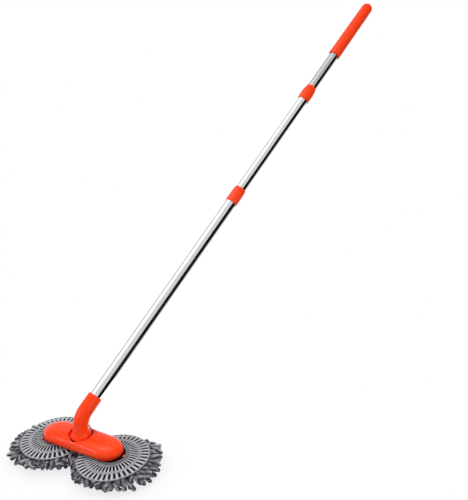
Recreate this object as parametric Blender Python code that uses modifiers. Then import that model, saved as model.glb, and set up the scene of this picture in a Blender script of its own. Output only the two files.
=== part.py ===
"""A car wash brush: two spinning chenille discs under a crossbar, on a telescopic pole.

Metres, Z up. The origin is the middle of the crossbar base's flat underside, on the
axis that the crossbar swivels about. The crossbar runs along X, and the pole leans
towards +Y, turned a little towards +X.
"""

import math

import bmesh
import bpy
from mathutils import Matrix, Vector

# Driving sizes of the whole brush
DISC_RADIUS = 0.0718
DISC_GAP = 0.0086
DISC_SPACING = 2 * DISC_RADIUS + DISC_GAP
CROSSBAR_OVERHANG = 0.0210
CROSSBAR_LENGTH = DISC_SPACING + 2 * CROSSBAR_OVERHANG
CROSSBAR_WIDTH = 0.0600
CROWN_HEIGHT = 0.0232
PIN_HEIGHT = 0.0130
POLE_RISE = math.radians(35)
POLE_TURN = math.radians(15)
NECK_RISE = math.radians(86)

# Clearances and walls that several pieces share
GAP = 0.0003
SLIDE_GAP = 0.0003
OVERRUN = 0.0030
PLASTIC_WALL = 0.0022
TUBE_WALL = 0.0005
MERGE = 0.00001

# Pole, measured along its axis from the rim of the neck
TUBE_LOWER_RADIUS = 0.0125
TUBE_MIDDLE_RADIUS = 0.0114
TUBE_UPPER_RADIUS = 0.0105
SOCKET_DEPTH = 0.0300
TUBE_LOWER_END = 0.4867
TUBE_MIDDLE_END = 0.7832
TUBE_MIDDLE_LENGTH = 0.4850
TUBE_UPPER_LENGTH = 0.5000
COLLAR_LOWER_LENGTH = 0.0385
COLLAR_UPPER_LENGTH = 0.0385
GRIP_START = 0.9222
GRIP_LENGTH = 0.1640
MOUTH_DEPTH = 0.0050

# Screws
THREAD_RADIUS = 0.0020
SHOULDER_RADIUS = 0.0030

# Base of the crossbar and the turntable on it
BASE_THICKNESS = 0.0030
BASE_INSET = 0.0014
SPIGOT_RADIUS = 0.0060
SPIGOT_HEIGHT = 0.0024
RECESS_RADIUS = 0.0245
TURNTABLE_LAP = 0.0018
TURNTABLE_RADIUS = RECESS_RADIUS + TURNTABLE_LAP
TURNTABLE_THICKNESS = 0.0031
AXLE_BOSS_RADIUS = 0.0070
AXLE_BOSS_HEIGHT = 0.0100

# Foot of the neck and its lug
FOOT_CLEARANCE = 0.0026
FOOT_RADIUS = RECESS_RADIUS - FOOT_CLEARANCE
FOOT_DROP = 0.0050
LUG_WIDTH = 0.0100
LUG_RADIUS = 0.0065
TILT_PIN_RADIUS = 0.0025

# Discs, measured down from the underside of the crossbar base
DISC_THICKNESS = 0.0026
HUB_RIM_OUTER = 0.0255
DISC_BORE = HUB_RIM_OUTER + GAP
COLLAR_TOP = 0.0022
COLLAR_RADIUS = 0.0333
CONE_TOP = 0.0040
CONE_FOOT = 0.0080
HUB_FLOOR_TOP = 0.0070
HUB_FLANGE_RADIUS = COLLAR_RADIUS
HUB_FLANGE_THICKNESS = 0.0023
BACKING_INSET = 0.0035
BACKING_RADIUS = DISC_RADIUS - BACKING_INSET
BACKING_THICKNESS = 0.0030

ROUND_SIDES = 22
WIDE_SIDES = 32
INNER_SIDES = 16
SMALL_SIDES = 10
FLAT_ANGLE = math.radians(0.1)
SHADE_ANGLE = math.radians(40)
QUARTER = math.pi / 2


for old in list(bpy.data.objects):
    bpy.data.objects.remove(old, do_unlink=True)

parts = bpy.data.collections.new("car_wash_brush")
cutters = bpy.data.collections.new("cutters")
bpy.context.scene.collection.children.link(parts)
bpy.context.scene.collection.children.link(cutters)
cutters.hide_render = True


def material(name, colour, roughness, metallic=0.0):
    """One Principled material by its colour, roughness and metallic value."""
    made = bpy.data.materials.new(name)
    made.use_nodes = True
    shader = made.node_tree.nodes["Principled BSDF"]
    shader.inputs["Base Color"].default_value = (*colour, 1.0)
    shader.inputs["Roughness"].default_value = roughness
    shader.inputs["Metallic"].default_value = metallic
    return made


ORANGE = (0.90, 0.075, 0.012)
GREY = (0.25, 0.27, 0.30)
STEEL = (0.72, 0.73, 0.75)
BLACK = (0.03, 0.03, 0.035)
CHENILLE = (0.20, 0.18, 0.21)


def empty(name, parent=None, place=(0, 0, 0), turn=(0, 0, 0)):
    """A named frame that pieces are parented to."""
    frame = bpy.data.objects.new(name, None)
    parts.objects.link(frame)
    frame.parent = parent
    frame.location = place
    frame.rotation_euler = turn
    return frame


def put(obj, frame=None, place=(0, 0, 0), turn=(0, 0, 0), paint=None):
    """Place a piece, in the parts if it has a material and among the cutters if not."""
    home = cutters if paint is None else parts
    home.objects.link(obj)
    obj.parent = frame
    obj.location = place
    obj.rotation_euler = turn
    if paint is None:
        obj.hide_render = True
        obj.display_type = "WIRE"
    else:
        obj.data.materials.append(paint)
    return obj


def settled(obj):
    """Turn a curve or a modified outline into a plain mesh, smooth but for its edges."""
    scene = bpy.context.scene
    scene.collection.objects.link(obj)
    graph = bpy.context.evaluated_depsgraph_get()
    mesh = bpy.data.meshes.new_from_object(obj.evaluated_get(graph))
    name = obj.name
    bpy.data.objects.remove(obj, do_unlink=True)
    work = bmesh.new()
    work.from_mesh(mesh)
    bmesh.ops.remove_doubles(work, verts=work.verts, dist=MERGE)
    bmesh.ops.recalc_face_normals(work, faces=work.faces)
    bmesh.ops.dissolve_limit(work, angle_limit=FLAT_ANGLE, verts=work.verts, edges=work.edges)
    work.to_mesh(mesh)
    work.free()
    mesh.name = name
    mesh.shade_smooth()
    mesh.set_sharp_from_angle(angle=SHADE_ANGLE)
    return bpy.data.objects.new(name, mesh)


def turned(name, outline, sides=ROUND_SIDES):
    """A turned solid from (radius, height) pairs that run down its outer side first."""
    mesh = bpy.data.meshes.new(name)
    last = len(outline) - 1
    edges = [(index, index + 1) for index in range(last)]
    if outline[0][0] > 0:
        edges.append((last, 0))
    mesh.from_pydata([(radius, 0, height) for radius, height in outline], edges, [])
    obj = bpy.data.objects.new(name, mesh)
    screw = obj.modifiers.new("turn", "SCREW")
    screw.steps = sides
    screw.render_steps = sides
    screw.use_merge_vertices = True
    screw.merge_threshold = MERGE
    return settled(obj)


def rod(name, radius, low, high, sides=ROUND_SIDES):
    """A plain round rod between two heights."""
    return turned(name, [(0, high), (radius, high), (radius, low), (0, low)], sides)


def extruded(name, outline, thickness):
    """A flat outline in X and Y, extruded half its thickness each way along Z."""
    curve = bpy.data.curves.new(name, "CURVE")
    curve.dimensions = "2D"
    curve.fill_mode = "BOTH"
    curve.extrude = thickness / 2
    spline = curve.splines.new("POLY")
    spline.points.add(len(outline) - 1)
    for point, (x, y) in zip(spline.points, outline):
        point.co = (x, y, 0, 1)
    spline.use_cyclic_u = True
    return settled(bpy.data.objects.new(name, curve))


def from_bmesh(name, work):
    """A new object from a finished bmesh."""
    bmesh.ops.recalc_face_normals(work, faces=work.faces)
    mesh = bpy.data.meshes.new(name)
    work.to_mesh(mesh)
    work.free()
    mesh.shade_smooth()
    mesh.set_sharp_from_angle(angle=SHADE_ANGLE)
    return bpy.data.objects.new(name, mesh)


def box(name, width, depth, height):
    """A box centred on its origin."""
    work = bmesh.new()
    bmesh.ops.create_cube(work, size=1)
    bmesh.ops.scale(work, vec=(width, depth, height), verts=work.verts)
    return from_bmesh(name, work)


def together(name, tools):
    """One tool made of several separate ones, given as (object, place, turn about Z)."""
    work = bmesh.new()
    for tool, place, turn in tools:
        before = len(work.verts)
        work.from_mesh(tool.data)
        work.verts.ensure_lookup_table()
        added = work.verts[before:]
        matrix = Matrix.Translation(place) @ Matrix.Rotation(turn, 4, "Z")
        bmesh.ops.transform(work, matrix=matrix, verts=added)
    return from_bmesh(name, work)


def change(obj, tool, operation="DIFFERENCE"):
    """Cut, join or keep the common part of a piece and a tool."""
    boolean = obj.modifiers.new(tool.name, "BOOLEAN")
    boolean.operation = operation
    boolean.solver = "EXACT"
    boolean.object = tool


def arc(centre_radius, centre_height, radius, start, end, steps):
    """Points of an arc in an outline, by angles from the outward direction."""
    turns = [start + (end - start) * step / steps for step in range(steps + 1)]
    return [
        (centre_radius + radius * math.cos(turn), centre_height + radius * math.sin(turn))
        for turn in turns
    ]


def stretch(work, length, width):
    """Move the halves of a round form apart, so that its plan becomes a long stadium."""
    shift = (length - width) / 2
    for vert in work.verts:
        if abs(vert.co.x) > MERGE:
            vert.co.x += math.copysign(shift, vert.co.x)


# Neck. An orange moulded elbow: a straight foot above the tilt pin, a bend, and a
# straight socket for the lower tube. The foot swells to a ball that fills the recess.
NECK_FOOT_STRAIGHT = 0.0190
NECK_BEND_RADIUS = 0.0475
NECK_TOP_STRAIGHT = 0.0303
NECK_RADIUS = 0.0154
NECK_RIM_RADIUS = 0.0145
NECK_RIM_ROUND = 0.0010
FLARE_START = 0.0130
FLARE_LENGTH = 0.0150
NECK_BEND = NECK_RISE - POLE_RISE
NECK_LENGTH = NECK_FOOT_STRAIGHT + NECK_BEND_RADIUS * NECK_BEND + NECK_TOP_STRAIGHT


def neck_point(along):
    """A point of the neck's axis, as (out, up) from the tilt pin."""
    arc_length = NECK_BEND_RADIUS * NECK_BEND
    out = math.cos(NECK_RISE) * min(along, NECK_FOOT_STRAIGHT)
    up = math.sin(NECK_RISE) * min(along, NECK_FOOT_STRAIGHT)
    bent = min(max(along - NECK_FOOT_STRAIGHT, 0), arc_length)
    rise = NECK_RISE - bent / NECK_BEND_RADIUS
    out += NECK_BEND_RADIUS * (math.sin(NECK_RISE) - math.sin(rise))
    up += NECK_BEND_RADIUS * (math.cos(rise) - math.cos(NECK_RISE))
    rest = max(along - NECK_FOOT_STRAIGHT - arc_length, 0)
    return out + rest * math.cos(POLE_RISE), up + rest * math.sin(POLE_RISE)


def neck_radius(along):
    """The neck's radius: a ball at the foot, a flare above it, then a slow taper."""
    if along < FLARE_START:
        return math.sqrt(FOOT_RADIUS**2 - along**2)
    share = min((along - FLARE_START) / FLARE_LENGTH, 1)
    shoulder = math.sqrt(FOOT_RADIUS**2 - FLARE_START**2)
    flare = (shoulder - NECK_RADIUS) * (1 - share) ** 3
    taper = (NECK_RIM_RADIUS - NECK_RADIUS) * max(along - FLARE_START, 0) / NECK_LENGTH
    return NECK_RADIUS + flare + taper


neck_plane = empty("neck_plane", turn=(0, 0, -POLE_TURN))
rim_out, rim_up = neck_point(NECK_LENGTH)
pole = empty(
    "pole_axis",
    neck_plane,
    (0, rim_out, PIN_HEIGHT + rim_up),
    (POLE_RISE - QUARTER, 0, 0),
)
foot = empty("foot_axis", neck_plane, (0, 0, PIN_HEIGHT), (NECK_RISE - QUARTER, 0, 0))


NECK_FOOT_STEP = 0.0040
NECK_BEND_STEP = 0.0080
SLOT_GAP = 0.0004
SLOT_HEADROOM = 0.0008
CHEEK_REACH = 0.0040
TILT_FROM_UPRIGHT = math.radians(30)


def build_neck():
    """The neck with its tube socket, its slot for the lug and its pin bore."""
    paint = material("neck", ORANGE, 0.22)
    flare_end = FLARE_START + FLARE_LENGTH
    stations = []
    along = -FOOT_DROP
    while along < flare_end:
        stations.append(along)
        along += NECK_FOOT_STEP
    while along < NECK_LENGTH - NECK_BEND_STEP:
        stations.append(along)
        along += NECK_BEND_STEP
    stations += [NECK_LENGTH - NECK_RIM_ROUND, NECK_LENGTH]
    curve = bpy.data.curves.new("neck", "CURVE")
    curve.dimensions = "3D"
    curve.bevel_depth = NECK_RADIUS
    curve.bevel_resolution = (ROUND_SIDES - 4) // 2
    curve.use_fill_caps = True
    spline = curve.splines.new("POLY")
    spline.points.add(len(stations) - 1)
    for point, along in zip(spline.points, stations):
        out, up = neck_point(along)
        if along < 0:
            out = along * math.cos(NECK_RISE)
            up = along * math.sin(NECK_RISE)
        point.co = (0, out, up, 1)
        point.radius = neck_radius(along) / NECK_RADIUS
    spline.points[-1].radius = (NECK_RIM_RADIUS - NECK_RIM_ROUND / 2) / NECK_RADIUS
    neck = settled(bpy.data.objects.new("neck", curve))
    put(neck, neck_plane, (0, 0, PIN_HEIGHT), paint=paint)

    bore = rod("neck_bore", TUBE_LOWER_RADIUS + GAP, -SOCKET_DEPTH, OVERRUN)
    change(neck, put(bore, pole))

    slot_top = LUG_RADIUS + SLOT_HEADROOM
    slot_height = slot_top + FOOT_DROP + OVERRUN
    slot = box("neck_slot", LUG_WIDTH + 2 * SLOT_GAP, 2 * FOOT_RADIUS + OVERRUN, slot_height)
    change(neck, put(slot, foot, (0, 0, slot_top - slot_height / 2)))

    for side in (-1, 1):
        wedge = box("neck_wedge", 2 * FOOT_RADIUS + OVERRUN, 2 * FOOT_RADIUS, FOOT_RADIUS)
        work = bmesh.new()
        work.from_mesh(wedge.data)
        bmesh.ops.translate(work, vec=(0, side * FOOT_RADIUS, -FOOT_RADIUS / 2), verts=work.verts)
        work.to_mesh(wedge.data)
        work.free()
        put(wedge, foot, (0, side * CHEEK_REACH, -FOOT_DROP), (side * TILT_FROM_UPRIGHT, 0, 0))
        change(neck, wedge)

    hole = rod("neck_pin_hole", TILT_PIN_RADIUS + GAP, -FOOT_RADIUS, FOOT_RADIUS)
    change(neck, put(hole, foot, turn=(0, QUARTER, 0)))
    return neck


# Tilt pin. A steel cross pin through the foot and the lug.
PIN_INSET = 0.0030
TILT_PIN_LENGTH = 2 * (FOOT_RADIUS - PIN_INSET)
PIN_CHAMFER = 0.0004


def build_tilt_pin():
    """The cross pin, with chamfered ends."""
    half = TILT_PIN_LENGTH / 2
    waist = TILT_PIN_RADIUS - PIN_CHAMFER
    outline = [
        (0, half),
        (waist, half),
        (TILT_PIN_RADIUS, half - PIN_CHAMFER),
        (TILT_PIN_RADIUS, PIN_CHAMFER - half),
        (waist, -half),
        (0, -half),
    ]
    pin = turned("tilt_pin", outline, SMALL_SIDES)
    return put(pin, foot, turn=(0, QUARTER, 0), paint=material("tilt_pin", STEEL, 0.3, 1.0))


# Swivel yoke. A turntable that is trapped between the base and the wall of the recess,
# with a round-topped lug that carries the tilt pin.
LUG_FOOT = 0.0100
LUG_SINK = 0.0010
LUG_ARC_START = math.radians(20)


def build_yoke():
    """The turntable and its lug as one body, with its origin on the tilt pin."""
    top = BASE_THICKNESS + GAP + TURNTABLE_THICKNESS - PIN_HEIGHT
    bottom = top - TURNTABLE_THICKNESS
    socket_top = bottom + SPIGOT_HEIGHT
    socket_radius = SPIGOT_RADIUS + GAP
    outline = [
        (0, top),
        (TURNTABLE_RADIUS, top),
        (TURNTABLE_RADIUS, bottom),
        (socket_radius, bottom),
        (socket_radius, socket_top),
        (0, socket_top),
    ]
    yoke = turned("swivel_yoke", outline, WIDE_SIDES)
    put(yoke, place=(0, 0, PIN_HEIGHT), paint=material("swivel_yoke", ORANGE, 0.35))
    lug_outline = [(LUG_FOOT, top - LUG_SINK)]
    lug_outline += arc(0, 0, LUG_RADIUS, LUG_ARC_START, math.pi - LUG_ARC_START, SMALL_SIDES)
    lug_outline += [(-LUG_FOOT, top - LUG_SINK)]
    lug = extruded("yoke_lug", lug_outline, LUG_WIDTH)
    put(lug, neck_plane, (0, 0, PIN_HEIGHT), (QUARTER, 0, QUARTER))
    change(yoke, lug, "UNION")
    hole = rod("yoke_pin_hole", TILT_PIN_RADIUS + GAP, -LUG_WIDTH, LUG_WIDTH)
    change(yoke, put(hole, neck_plane, (0, 0, PIN_HEIGHT), (0, QUARTER, 0)))
    return yoke


# Crossbar cover. A glossy orange domed shell with a stadium plan. A round well in its
# middle takes the foot of the neck, and four bosses inside take the cover screws.
COVER_SECTIONS = 7
HOLLOW_SECTIONS = 4
COVER_SQUARENESS_SHARE = 0.714
WELL_WALL = 0.0022
SCREW_BOSS_RADIUS = 0.0045
SCREW_FROM_AXLE = 0.0290
SCREW_FROM_SIDE = 0.0150
SCREW_BOSS_X = DISC_SPACING / 2 - SCREW_FROM_AXLE
SCREW_BOSS_Y = CROSSBAR_WIDTH / 2 - SCREW_FROM_SIDE
COVER_BOTTOM = BASE_THICKNESS + GAP
COVER_SCREW_RADIUS = 0.0015
COVER_SCREW_REACH = 0.0120


def dome(name, length, width, low, high, sides, sections):
    """A closed dome over a stadium plan, from a half sphere made squarer."""
    work = bmesh.new()
    bmesh.ops.create_uvsphere(work, u_segments=sides, v_segments=2 * sections, radius=1)
    below = [vert for vert in work.verts if vert.co.z < -MERGE]
    bmesh.ops.delete(work, geom=below, context="VERTS")
    rim = [edge for edge in work.edges if edge.is_boundary]
    bmesh.ops.contextual_create(work, geom=rim)
    for vert in work.verts:
        rise = math.asin(min(max(vert.co.z, 0), 1))
        heading = Vector((vert.co.x, vert.co.y, 0))
        if heading.length > MERGE:
            heading = heading.normalized() * math.cos(rise) ** COVER_SQUARENESS_SHARE
        lift = math.sin(rise) ** COVER_SQUARENESS_SHARE
        vert.co = (heading.x * width / 2, heading.y * width / 2, low + (high - low) * lift)
    stretch(work, length, width)
    return from_bmesh(name, work)


def screw_places():
    """Where the four cover screws stand."""
    return [(sx * SCREW_BOSS_X, sy * SCREW_BOSS_Y) for sx in (-1, 1) for sy in (-1, 1)]


def build_cover():
    """The shell: a dome, less a smaller dome that leaves the well and the bosses."""
    size = (CROSSBAR_LENGTH, CROSSBAR_WIDTH, COVER_BOTTOM, CROWN_HEIGHT)
    cover = dome("crossbar_cover", *size, WIDE_SIDES, COVER_SECTIONS)
    put(cover, paint=material("crossbar_cover", ORANGE, 0.22))
    inner_length = CROSSBAR_LENGTH - 2 * PLASTIC_WALL
    inner_width = CROSSBAR_WIDTH - 2 * PLASTIC_WALL
    size = (inner_length, inner_width, COVER_BOTTOM - OVERRUN, CROWN_HEIGHT - PLASTIC_WALL)
    hollow = put(dome("cover_hollow", *size, ROUND_SIDES, HOLLOW_SECTIONS))
    above = CROWN_HEIGHT + OVERRUN
    well = rod("cover_well_wall", RECESS_RADIUS + WELL_WALL, -OVERRUN, above, WIDE_SIDES)
    boss = rod("cover_boss", SCREW_BOSS_RADIUS, -OVERRUN, above, SMALL_SIDES)
    kept = [(well, (0, 0, 0), 0)] + [(boss, (x, y, 0), 0) for x, y in screw_places()]
    change(hollow, put(together("cover_kept", kept)))
    change(cover, hollow)
    room_top = BASE_THICKNESS + TURNTABLE_THICKNESS + 2 * GAP
    room_radius = RECESS_RADIUS + WELL_WALL + GAP
    well_outline = [
        (0, above),
        (RECESS_RADIUS, above),
        (RECESS_RADIUS, room_top),
        (room_radius, room_top),
        (room_radius, 0),
        (0, 0),
    ]
    opening = turned("cover_opening", well_outline, WIDE_SIDES)
    pilot = rod("cover_pilot", COVER_SCREW_RADIUS + GAP, 0, COVER_SCREW_REACH + GAP, SMALL_SIDES)
    holes = [(opening, (0, 0, 0), 0)] + [(pilot, (x, y, 0), 0) for x, y in screw_places()]
    change(cover, put(together("cover_holes", holes)))
    return cover


# Crossbar base. The flat plate that closes the cover from below. It has the spigot of
# the turntable, a boss over each disc for the axle screw, and four counterbored holes.
SCREW_HEAD_RADIUS = 0.0032
SCREW_HEAD_HEIGHT = 0.0014
COUNTERBORE_DEPTH = 0.0017


def build_base():
    """The base plate with its spigot, bosses and screw holes."""
    work = bmesh.new()
    width = CROSSBAR_WIDTH - 2 * BASE_INSET
    bmesh.ops.create_cone(
        work,
        cap_ends=True,
        segments=WIDE_SIDES,
        radius1=width / 2,
        radius2=width / 2,
        depth=BASE_THICKNESS,
        matrix=Matrix.Translation((0, 0, BASE_THICKNESS / 2)),
    )
    stretch(work, CROSSBAR_LENGTH - 2 * BASE_INSET, width)
    base = put(from_bmesh("crossbar_base", work), paint=material("crossbar_base", ORANGE, 0.4))
    sunk = BASE_THICKNESS / 2
    boss_top = BASE_THICKNESS + AXLE_BOSS_HEIGHT
    above = boss_top + OVERRUN
    spigot = rod("base_spigot", SPIGOT_RADIUS, sunk, BASE_THICKNESS + SPIGOT_HEIGHT, SMALL_SIDES)
    boss = rod("base_boss", AXLE_BOSS_RADIUS, sunk, boss_top, SMALL_SIDES)
    thread = rod("base_thread", THREAD_RADIUS + GAP, -OVERRUN, above, SMALL_SIDES)
    axles = [(side * DISC_SPACING / 2, 0, 0) for side in (-1, 1)]
    raised = [(spigot, (0, 0, 0), 0)] + [(boss, place, 0) for place in axles]
    change(base, put(together("base_raised", raised)), "UNION")
    hole_radius = COVER_SCREW_RADIUS + GAP
    sink_radius = SCREW_HEAD_RADIUS + GAP
    hole_outline = [
        (0, above),
        (hole_radius, above),
        (hole_radius, COUNTERBORE_DEPTH),
        (sink_radius, COUNTERBORE_DEPTH),
        (sink_radius, -OVERRUN),
        (0, -OVERRUN),
    ]
    hole = turned("base_screw_hole", hole_outline, SMALL_SIDES)
    holes = [(thread, place, 0) for place in axles] + [(hole, (x, y, 0), 0) for x, y in screw_places()]
    change(base, put(together("base_holes", holes)))
    return base


# Cover screws. Four self-tapping screws, with their heads sunk in the base.
def build_cover_screws():
    """One screw in each corner boss."""
    paint = material("cover_screw", STEEL, 0.35, 1.0)
    head_top = COUNTERBORE_DEPTH - GAP
    outline = [
        (0, COVER_SCREW_REACH),
        (COVER_SCREW_RADIUS, COVER_SCREW_REACH),
        (COVER_SCREW_RADIUS, head_top),
        (SCREW_HEAD_RADIUS, head_top),
        (SCREW_HEAD_RADIUS, head_top - SCREW_HEAD_HEIGHT),
        (0, head_top - SCREW_HEAD_HEIGHT),
    ]
    for number, (x, y) in enumerate(screw_places(), 1):
        put(turned(f"cover_screw_{number}", outline, SMALL_SIDES), place=(x, y, 0), paint=paint)


# Axle screws and washers. A shoulder screw carries each disc: its shoulder is the axle,
# its head and a washer hold the hub up, and its thread goes into the boss of the base.
AXLE_HEAD_RADIUS = 0.0065
AXLE_HEAD_HEIGHT = 0.0026
WASHER_RADIUS = 0.0073
WASHER_THICKNESS = 0.0010
WASHER_SEAT = 0.0052


def build_axles(side, word):
    """The shoulder screw and the washer under one end of the crossbar."""
    place = (side * DISC_SPACING / 2, 0, 0)
    washer_top = -(WASHER_SEAT + GAP)
    head_top = washer_top - WASHER_THICKNESS - GAP
    screw_outline = [
        (0, BASE_THICKNESS + AXLE_BOSS_HEIGHT),
        (THREAD_RADIUS, BASE_THICKNESS + AXLE_BOSS_HEIGHT),
        (THREAD_RADIUS, -GAP),
        (SHOULDER_RADIUS, -GAP),
        (SHOULDER_RADIUS, head_top),
        (AXLE_HEAD_RADIUS, head_top),
        (AXLE_HEAD_RADIUS, head_top - AXLE_HEAD_HEIGHT),
        (0, head_top - AXLE_HEAD_HEIGHT),
    ]
    steel = material(f"axle_steel_{word}", STEEL, 0.3, 1.0)
    put(turned(f"axle_screw_{word}", screw_outline, SMALL_SIDES), place=place, paint=steel)
    washer_outline = [
        (WASHER_RADIUS, washer_top),
        (WASHER_RADIUS, washer_top - WASHER_THICKNESS),
        (SHOULDER_RADIUS + GAP, washer_top - WASHER_THICKNESS),
        (SHOULDER_RADIUS + GAP, washer_top),
    ]
    put(turned(f"axle_washer_{word}", washer_outline, SMALL_SIDES), place=place, paint=steel)


# Hubs. An orange dish with a bored boss, a raised rim that the grey disc fits round, a
# flange under it, three bayonet lugs over it and four elongated slots in its floor.
HUB_RIM_INNER = HUB_RIM_OUTER - PLASTIC_WALL
HUB_RIM_TOP = 0.0016
HUB_BOSS_RADIUS = 0.0095
BAYONET_LAP = 0.0018
BAYONET_REACH = HUB_RIM_OUTER + BAYONET_LAP
BAYONET_TOP = 0.0007
BAYONET_TURN = math.radians(26)
BAYONET_COUNT = 3
HUB_SLOT_RADIUS = 0.0170
HUB_SLOT_WIDTH = 0.0042
HUB_SLOT_TURN = math.radians(38)
HUB_SLOT_COUNT = 4


def sector(name, inner, outer, low, high, spread, steps):
    """A block between two radii and two heights that spans an angle about Z."""
    turns = [spread * (step / steps - 1 / 2) for step in range(steps + 1)]
    outline = [(outer * math.cos(turn), outer * math.sin(turn)) for turn in turns]
    outline += [(inner * math.cos(turn), inner * math.sin(turn)) for turn in reversed(turns)]
    block = extruded(name, outline, high - low)
    for vert in block.data.vertices:
        vert.co.z += (low + high) / 2
    return block


def build_hub(side, word):
    """One hub, with its origin on its spin axis."""
    spin = empty(f"spin_axis_{word}", place=(side * DISC_SPACING / 2, 0, 0))
    floor_bottom = -(HUB_FLOOR_TOP + HUB_FLANGE_THICKNESS + GAP)
    flange_top = floor_bottom + HUB_FLANGE_THICKNESS
    outline = [
        (HUB_BOSS_RADIUS, -GAP),
        (HUB_BOSS_RADIUS, -HUB_FLOOR_TOP),
        (HUB_RIM_INNER, -HUB_FLOOR_TOP),
        (HUB_RIM_INNER, -HUB_RIM_TOP),
        (HUB_RIM_OUTER, -HUB_RIM_TOP),
        (HUB_RIM_OUTER, flange_top),
        (HUB_FLANGE_RADIUS, flange_top),
        (HUB_FLANGE_RADIUS, floor_bottom),
        (WASHER_RADIUS + GAP, floor_bottom),
        (WASHER_RADIUS + GAP, -WASHER_SEAT),
        (SHOULDER_RADIUS + GAP, -WASHER_SEAT),
        (SHOULDER_RADIUS + GAP, -GAP),
    ]
    paint = material(f"hub_{word}", ORANGE, 0.3)
    hub = put(turned(f"hub_{word}", outline), spin, paint=paint)
    lug = sector(
        f"hub_bayonet_{word}",
        HUB_RIM_INNER + GAP,
        BAYONET_REACH,
        GAP - COLLAR_TOP,
        -BAYONET_TOP,
        BAYONET_TURN,
        2,
    )
    turns = [number * 2 * math.pi / BAYONET_COUNT for number in range(BAYONET_COUNT)]
    lugs = together(f"hub_bayonets_{word}", [(lug, (0, 0, 0), turn) for turn in turns])
    change(hub, put(lugs, spin), "UNION")
    slot = sector(
        f"hub_slot_{word}",
        HUB_SLOT_RADIUS - HUB_SLOT_WIDTH / 2,
        HUB_SLOT_RADIUS + HUB_SLOT_WIDTH / 2,
        floor_bottom - OVERRUN,
        OVERRUN - HUB_FLOOR_TOP,
        HUB_SLOT_TURN,
        3,
    )
    turns = [(number + 1 / 2) * 2 * math.pi / HUB_SLOT_COUNT for number in range(HUB_SLOT_COUNT)]
    slots = together(f"hub_slots_{word}", [(slot, (0, 0, 0), turn) for turn in turns])
    change(hub, put(slots, spin))
    return spin


# Pad plates. Grey plastic discs, a little coned, with a raised collar round the hub, a
# ring of short radial slots, a plain band, and a ring of longer radial slots by the rim.
SLOT_COUNT = 42
SLOT_TO_COLLAR = 0.0010
SLOT_TO_RIM = 0.0028
OUTER_SLOT_LENGTH = 0.0131
OUTER_SLOT_START = DISC_RADIUS - SLOT_TO_RIM - OUTER_SLOT_LENGTH
OUTER_SLOT_WIDTH = 0.0042
PLAIN_BAND = 0.0071
INNER_SLOT_START = COLLAR_RADIUS + SLOT_TO_COLLAR
INNER_SLOT_LENGTH = OUTER_SLOT_START - PLAIN_BAND - INNER_SLOT_START
INNER_SLOT_WIDTH = 0.0028
SLOT_TAPER_SHARE = 0.85
RIM_BAND = 0.0022
RIM_CHAMFER = 0.0012


def slot_ring(work, start, length, width, low):
    """Add one ring of radial wedge boxes to a cutter, one in the middle of each facet."""
    for number in range(SLOT_COUNT):
        block = bmesh.ops.create_cube(work, size=1)["verts"]
        for vert in block:
            outer = vert.co.x > 0
            across = width if outer else width * SLOT_TAPER_SHARE
            out = start + length if outer else start
            vert.co = (out, vert.co.y * across, 0 if vert.co.z > 0 else low)
        spin = Matrix.Rotation((number + 1 / 2) * 2 * math.pi / SLOT_COUNT, 4, "Z")
        bmesh.ops.transform(work, matrix=spin, verts=block)


def cone_drop(radius):
    """How far the cone of a disc has fallen at a radius, below its collar."""
    return (CONE_FOOT - CONE_TOP) * (radius - COLLAR_RADIUS) / (DISC_RADIUS - RIM_BAND - COLLAR_RADIUS)


def build_pad_plate(word, spin):
    """One slotted disc."""
    step = HUB_FLANGE_RADIUS + GAP
    outline = [
        (DISC_BORE, -COLLAR_TOP),
        (COLLAR_RADIUS - RIM_CHAMFER, -COLLAR_TOP),
        (COLLAR_RADIUS, -CONE_TOP),
        (DISC_RADIUS - RIM_BAND, -CONE_FOOT),
        (DISC_RADIUS, -CONE_FOOT - RIM_CHAMFER),
        (DISC_RADIUS, -CONE_FOOT - DISC_THICKNESS),
        (step, -CONE_TOP - DISC_THICKNESS - cone_drop(step)),
        (step, -HUB_FLOOR_TOP),
        (DISC_BORE, -HUB_FLOOR_TOP),
    ]
    plate = turned(f"pad_plate_{word}", list(reversed(outline)), SLOT_COUNT)
    put(plate, spin, paint=material(f"pad_plate_{word}", GREY, 0.35))
    work = bmesh.new()
    low = -CONE_FOOT - DISC_THICKNESS - OVERRUN
    slot_ring(work, INNER_SLOT_START, INNER_SLOT_LENGTH, INNER_SLOT_WIDTH, low)
    slot_ring(work, OUTER_SLOT_START, OUTER_SLOT_LENGTH, OUTER_SLOT_WIDTH, low)
    change(plate, put(from_bmesh(f"plate_slots_{word}", work), spin))
    return plate


# Chenille pads. A fabric backing under each disc with rings of thick soft strands. They
# hang down in the middle and lean outwards towards the rim, each ring inside the next.
STRAND_RINGS = 8
STRAND_TO_EDGE = 0.0039
STRAND_PITCH = (BACKING_RADIUS - STRAND_TO_EDGE) / (STRAND_RINGS - 1)
STRAND_LENGTH = 0.0250
STRAND_LENGTH_SWING = 0.0030
STRAND_SIDES = 3
STRAND_RADIUS = 0.0036
STRAND_TIP_REACH = DISC_SPACING / 2 - STRAND_RADIUS - GAP
STRAND_SINK = 0.0010
STRAND_SHARES = ((0.0, 0.72), (0.5, 1.0), (1.0, 0.80))
STRAND_BOW_SHARE = 0.72
STRAND_SPREAD_SHARE = 1.14
SWING_RATE = 2.4


def strand_feet():
    """The foot of each strand as (radius, angle), ring by ring, with its running number."""
    feet = [(0, 0)]
    for ring in range(1, STRAND_RINGS):
        radius = ring * STRAND_PITCH
        count = int(2 * math.pi * ring / STRAND_SPREAD_SHARE)
        feet += [(radius, 2 * math.pi * (number + ring / 2) / count) for number in range(count)]
    return feet


def put_section(section):
    """The object that carries a strand's cross section."""
    holder = bpy.data.objects.new(section.name, section)
    cutters.objects.link(holder)
    holder.hide_render = True
    return holder


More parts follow.
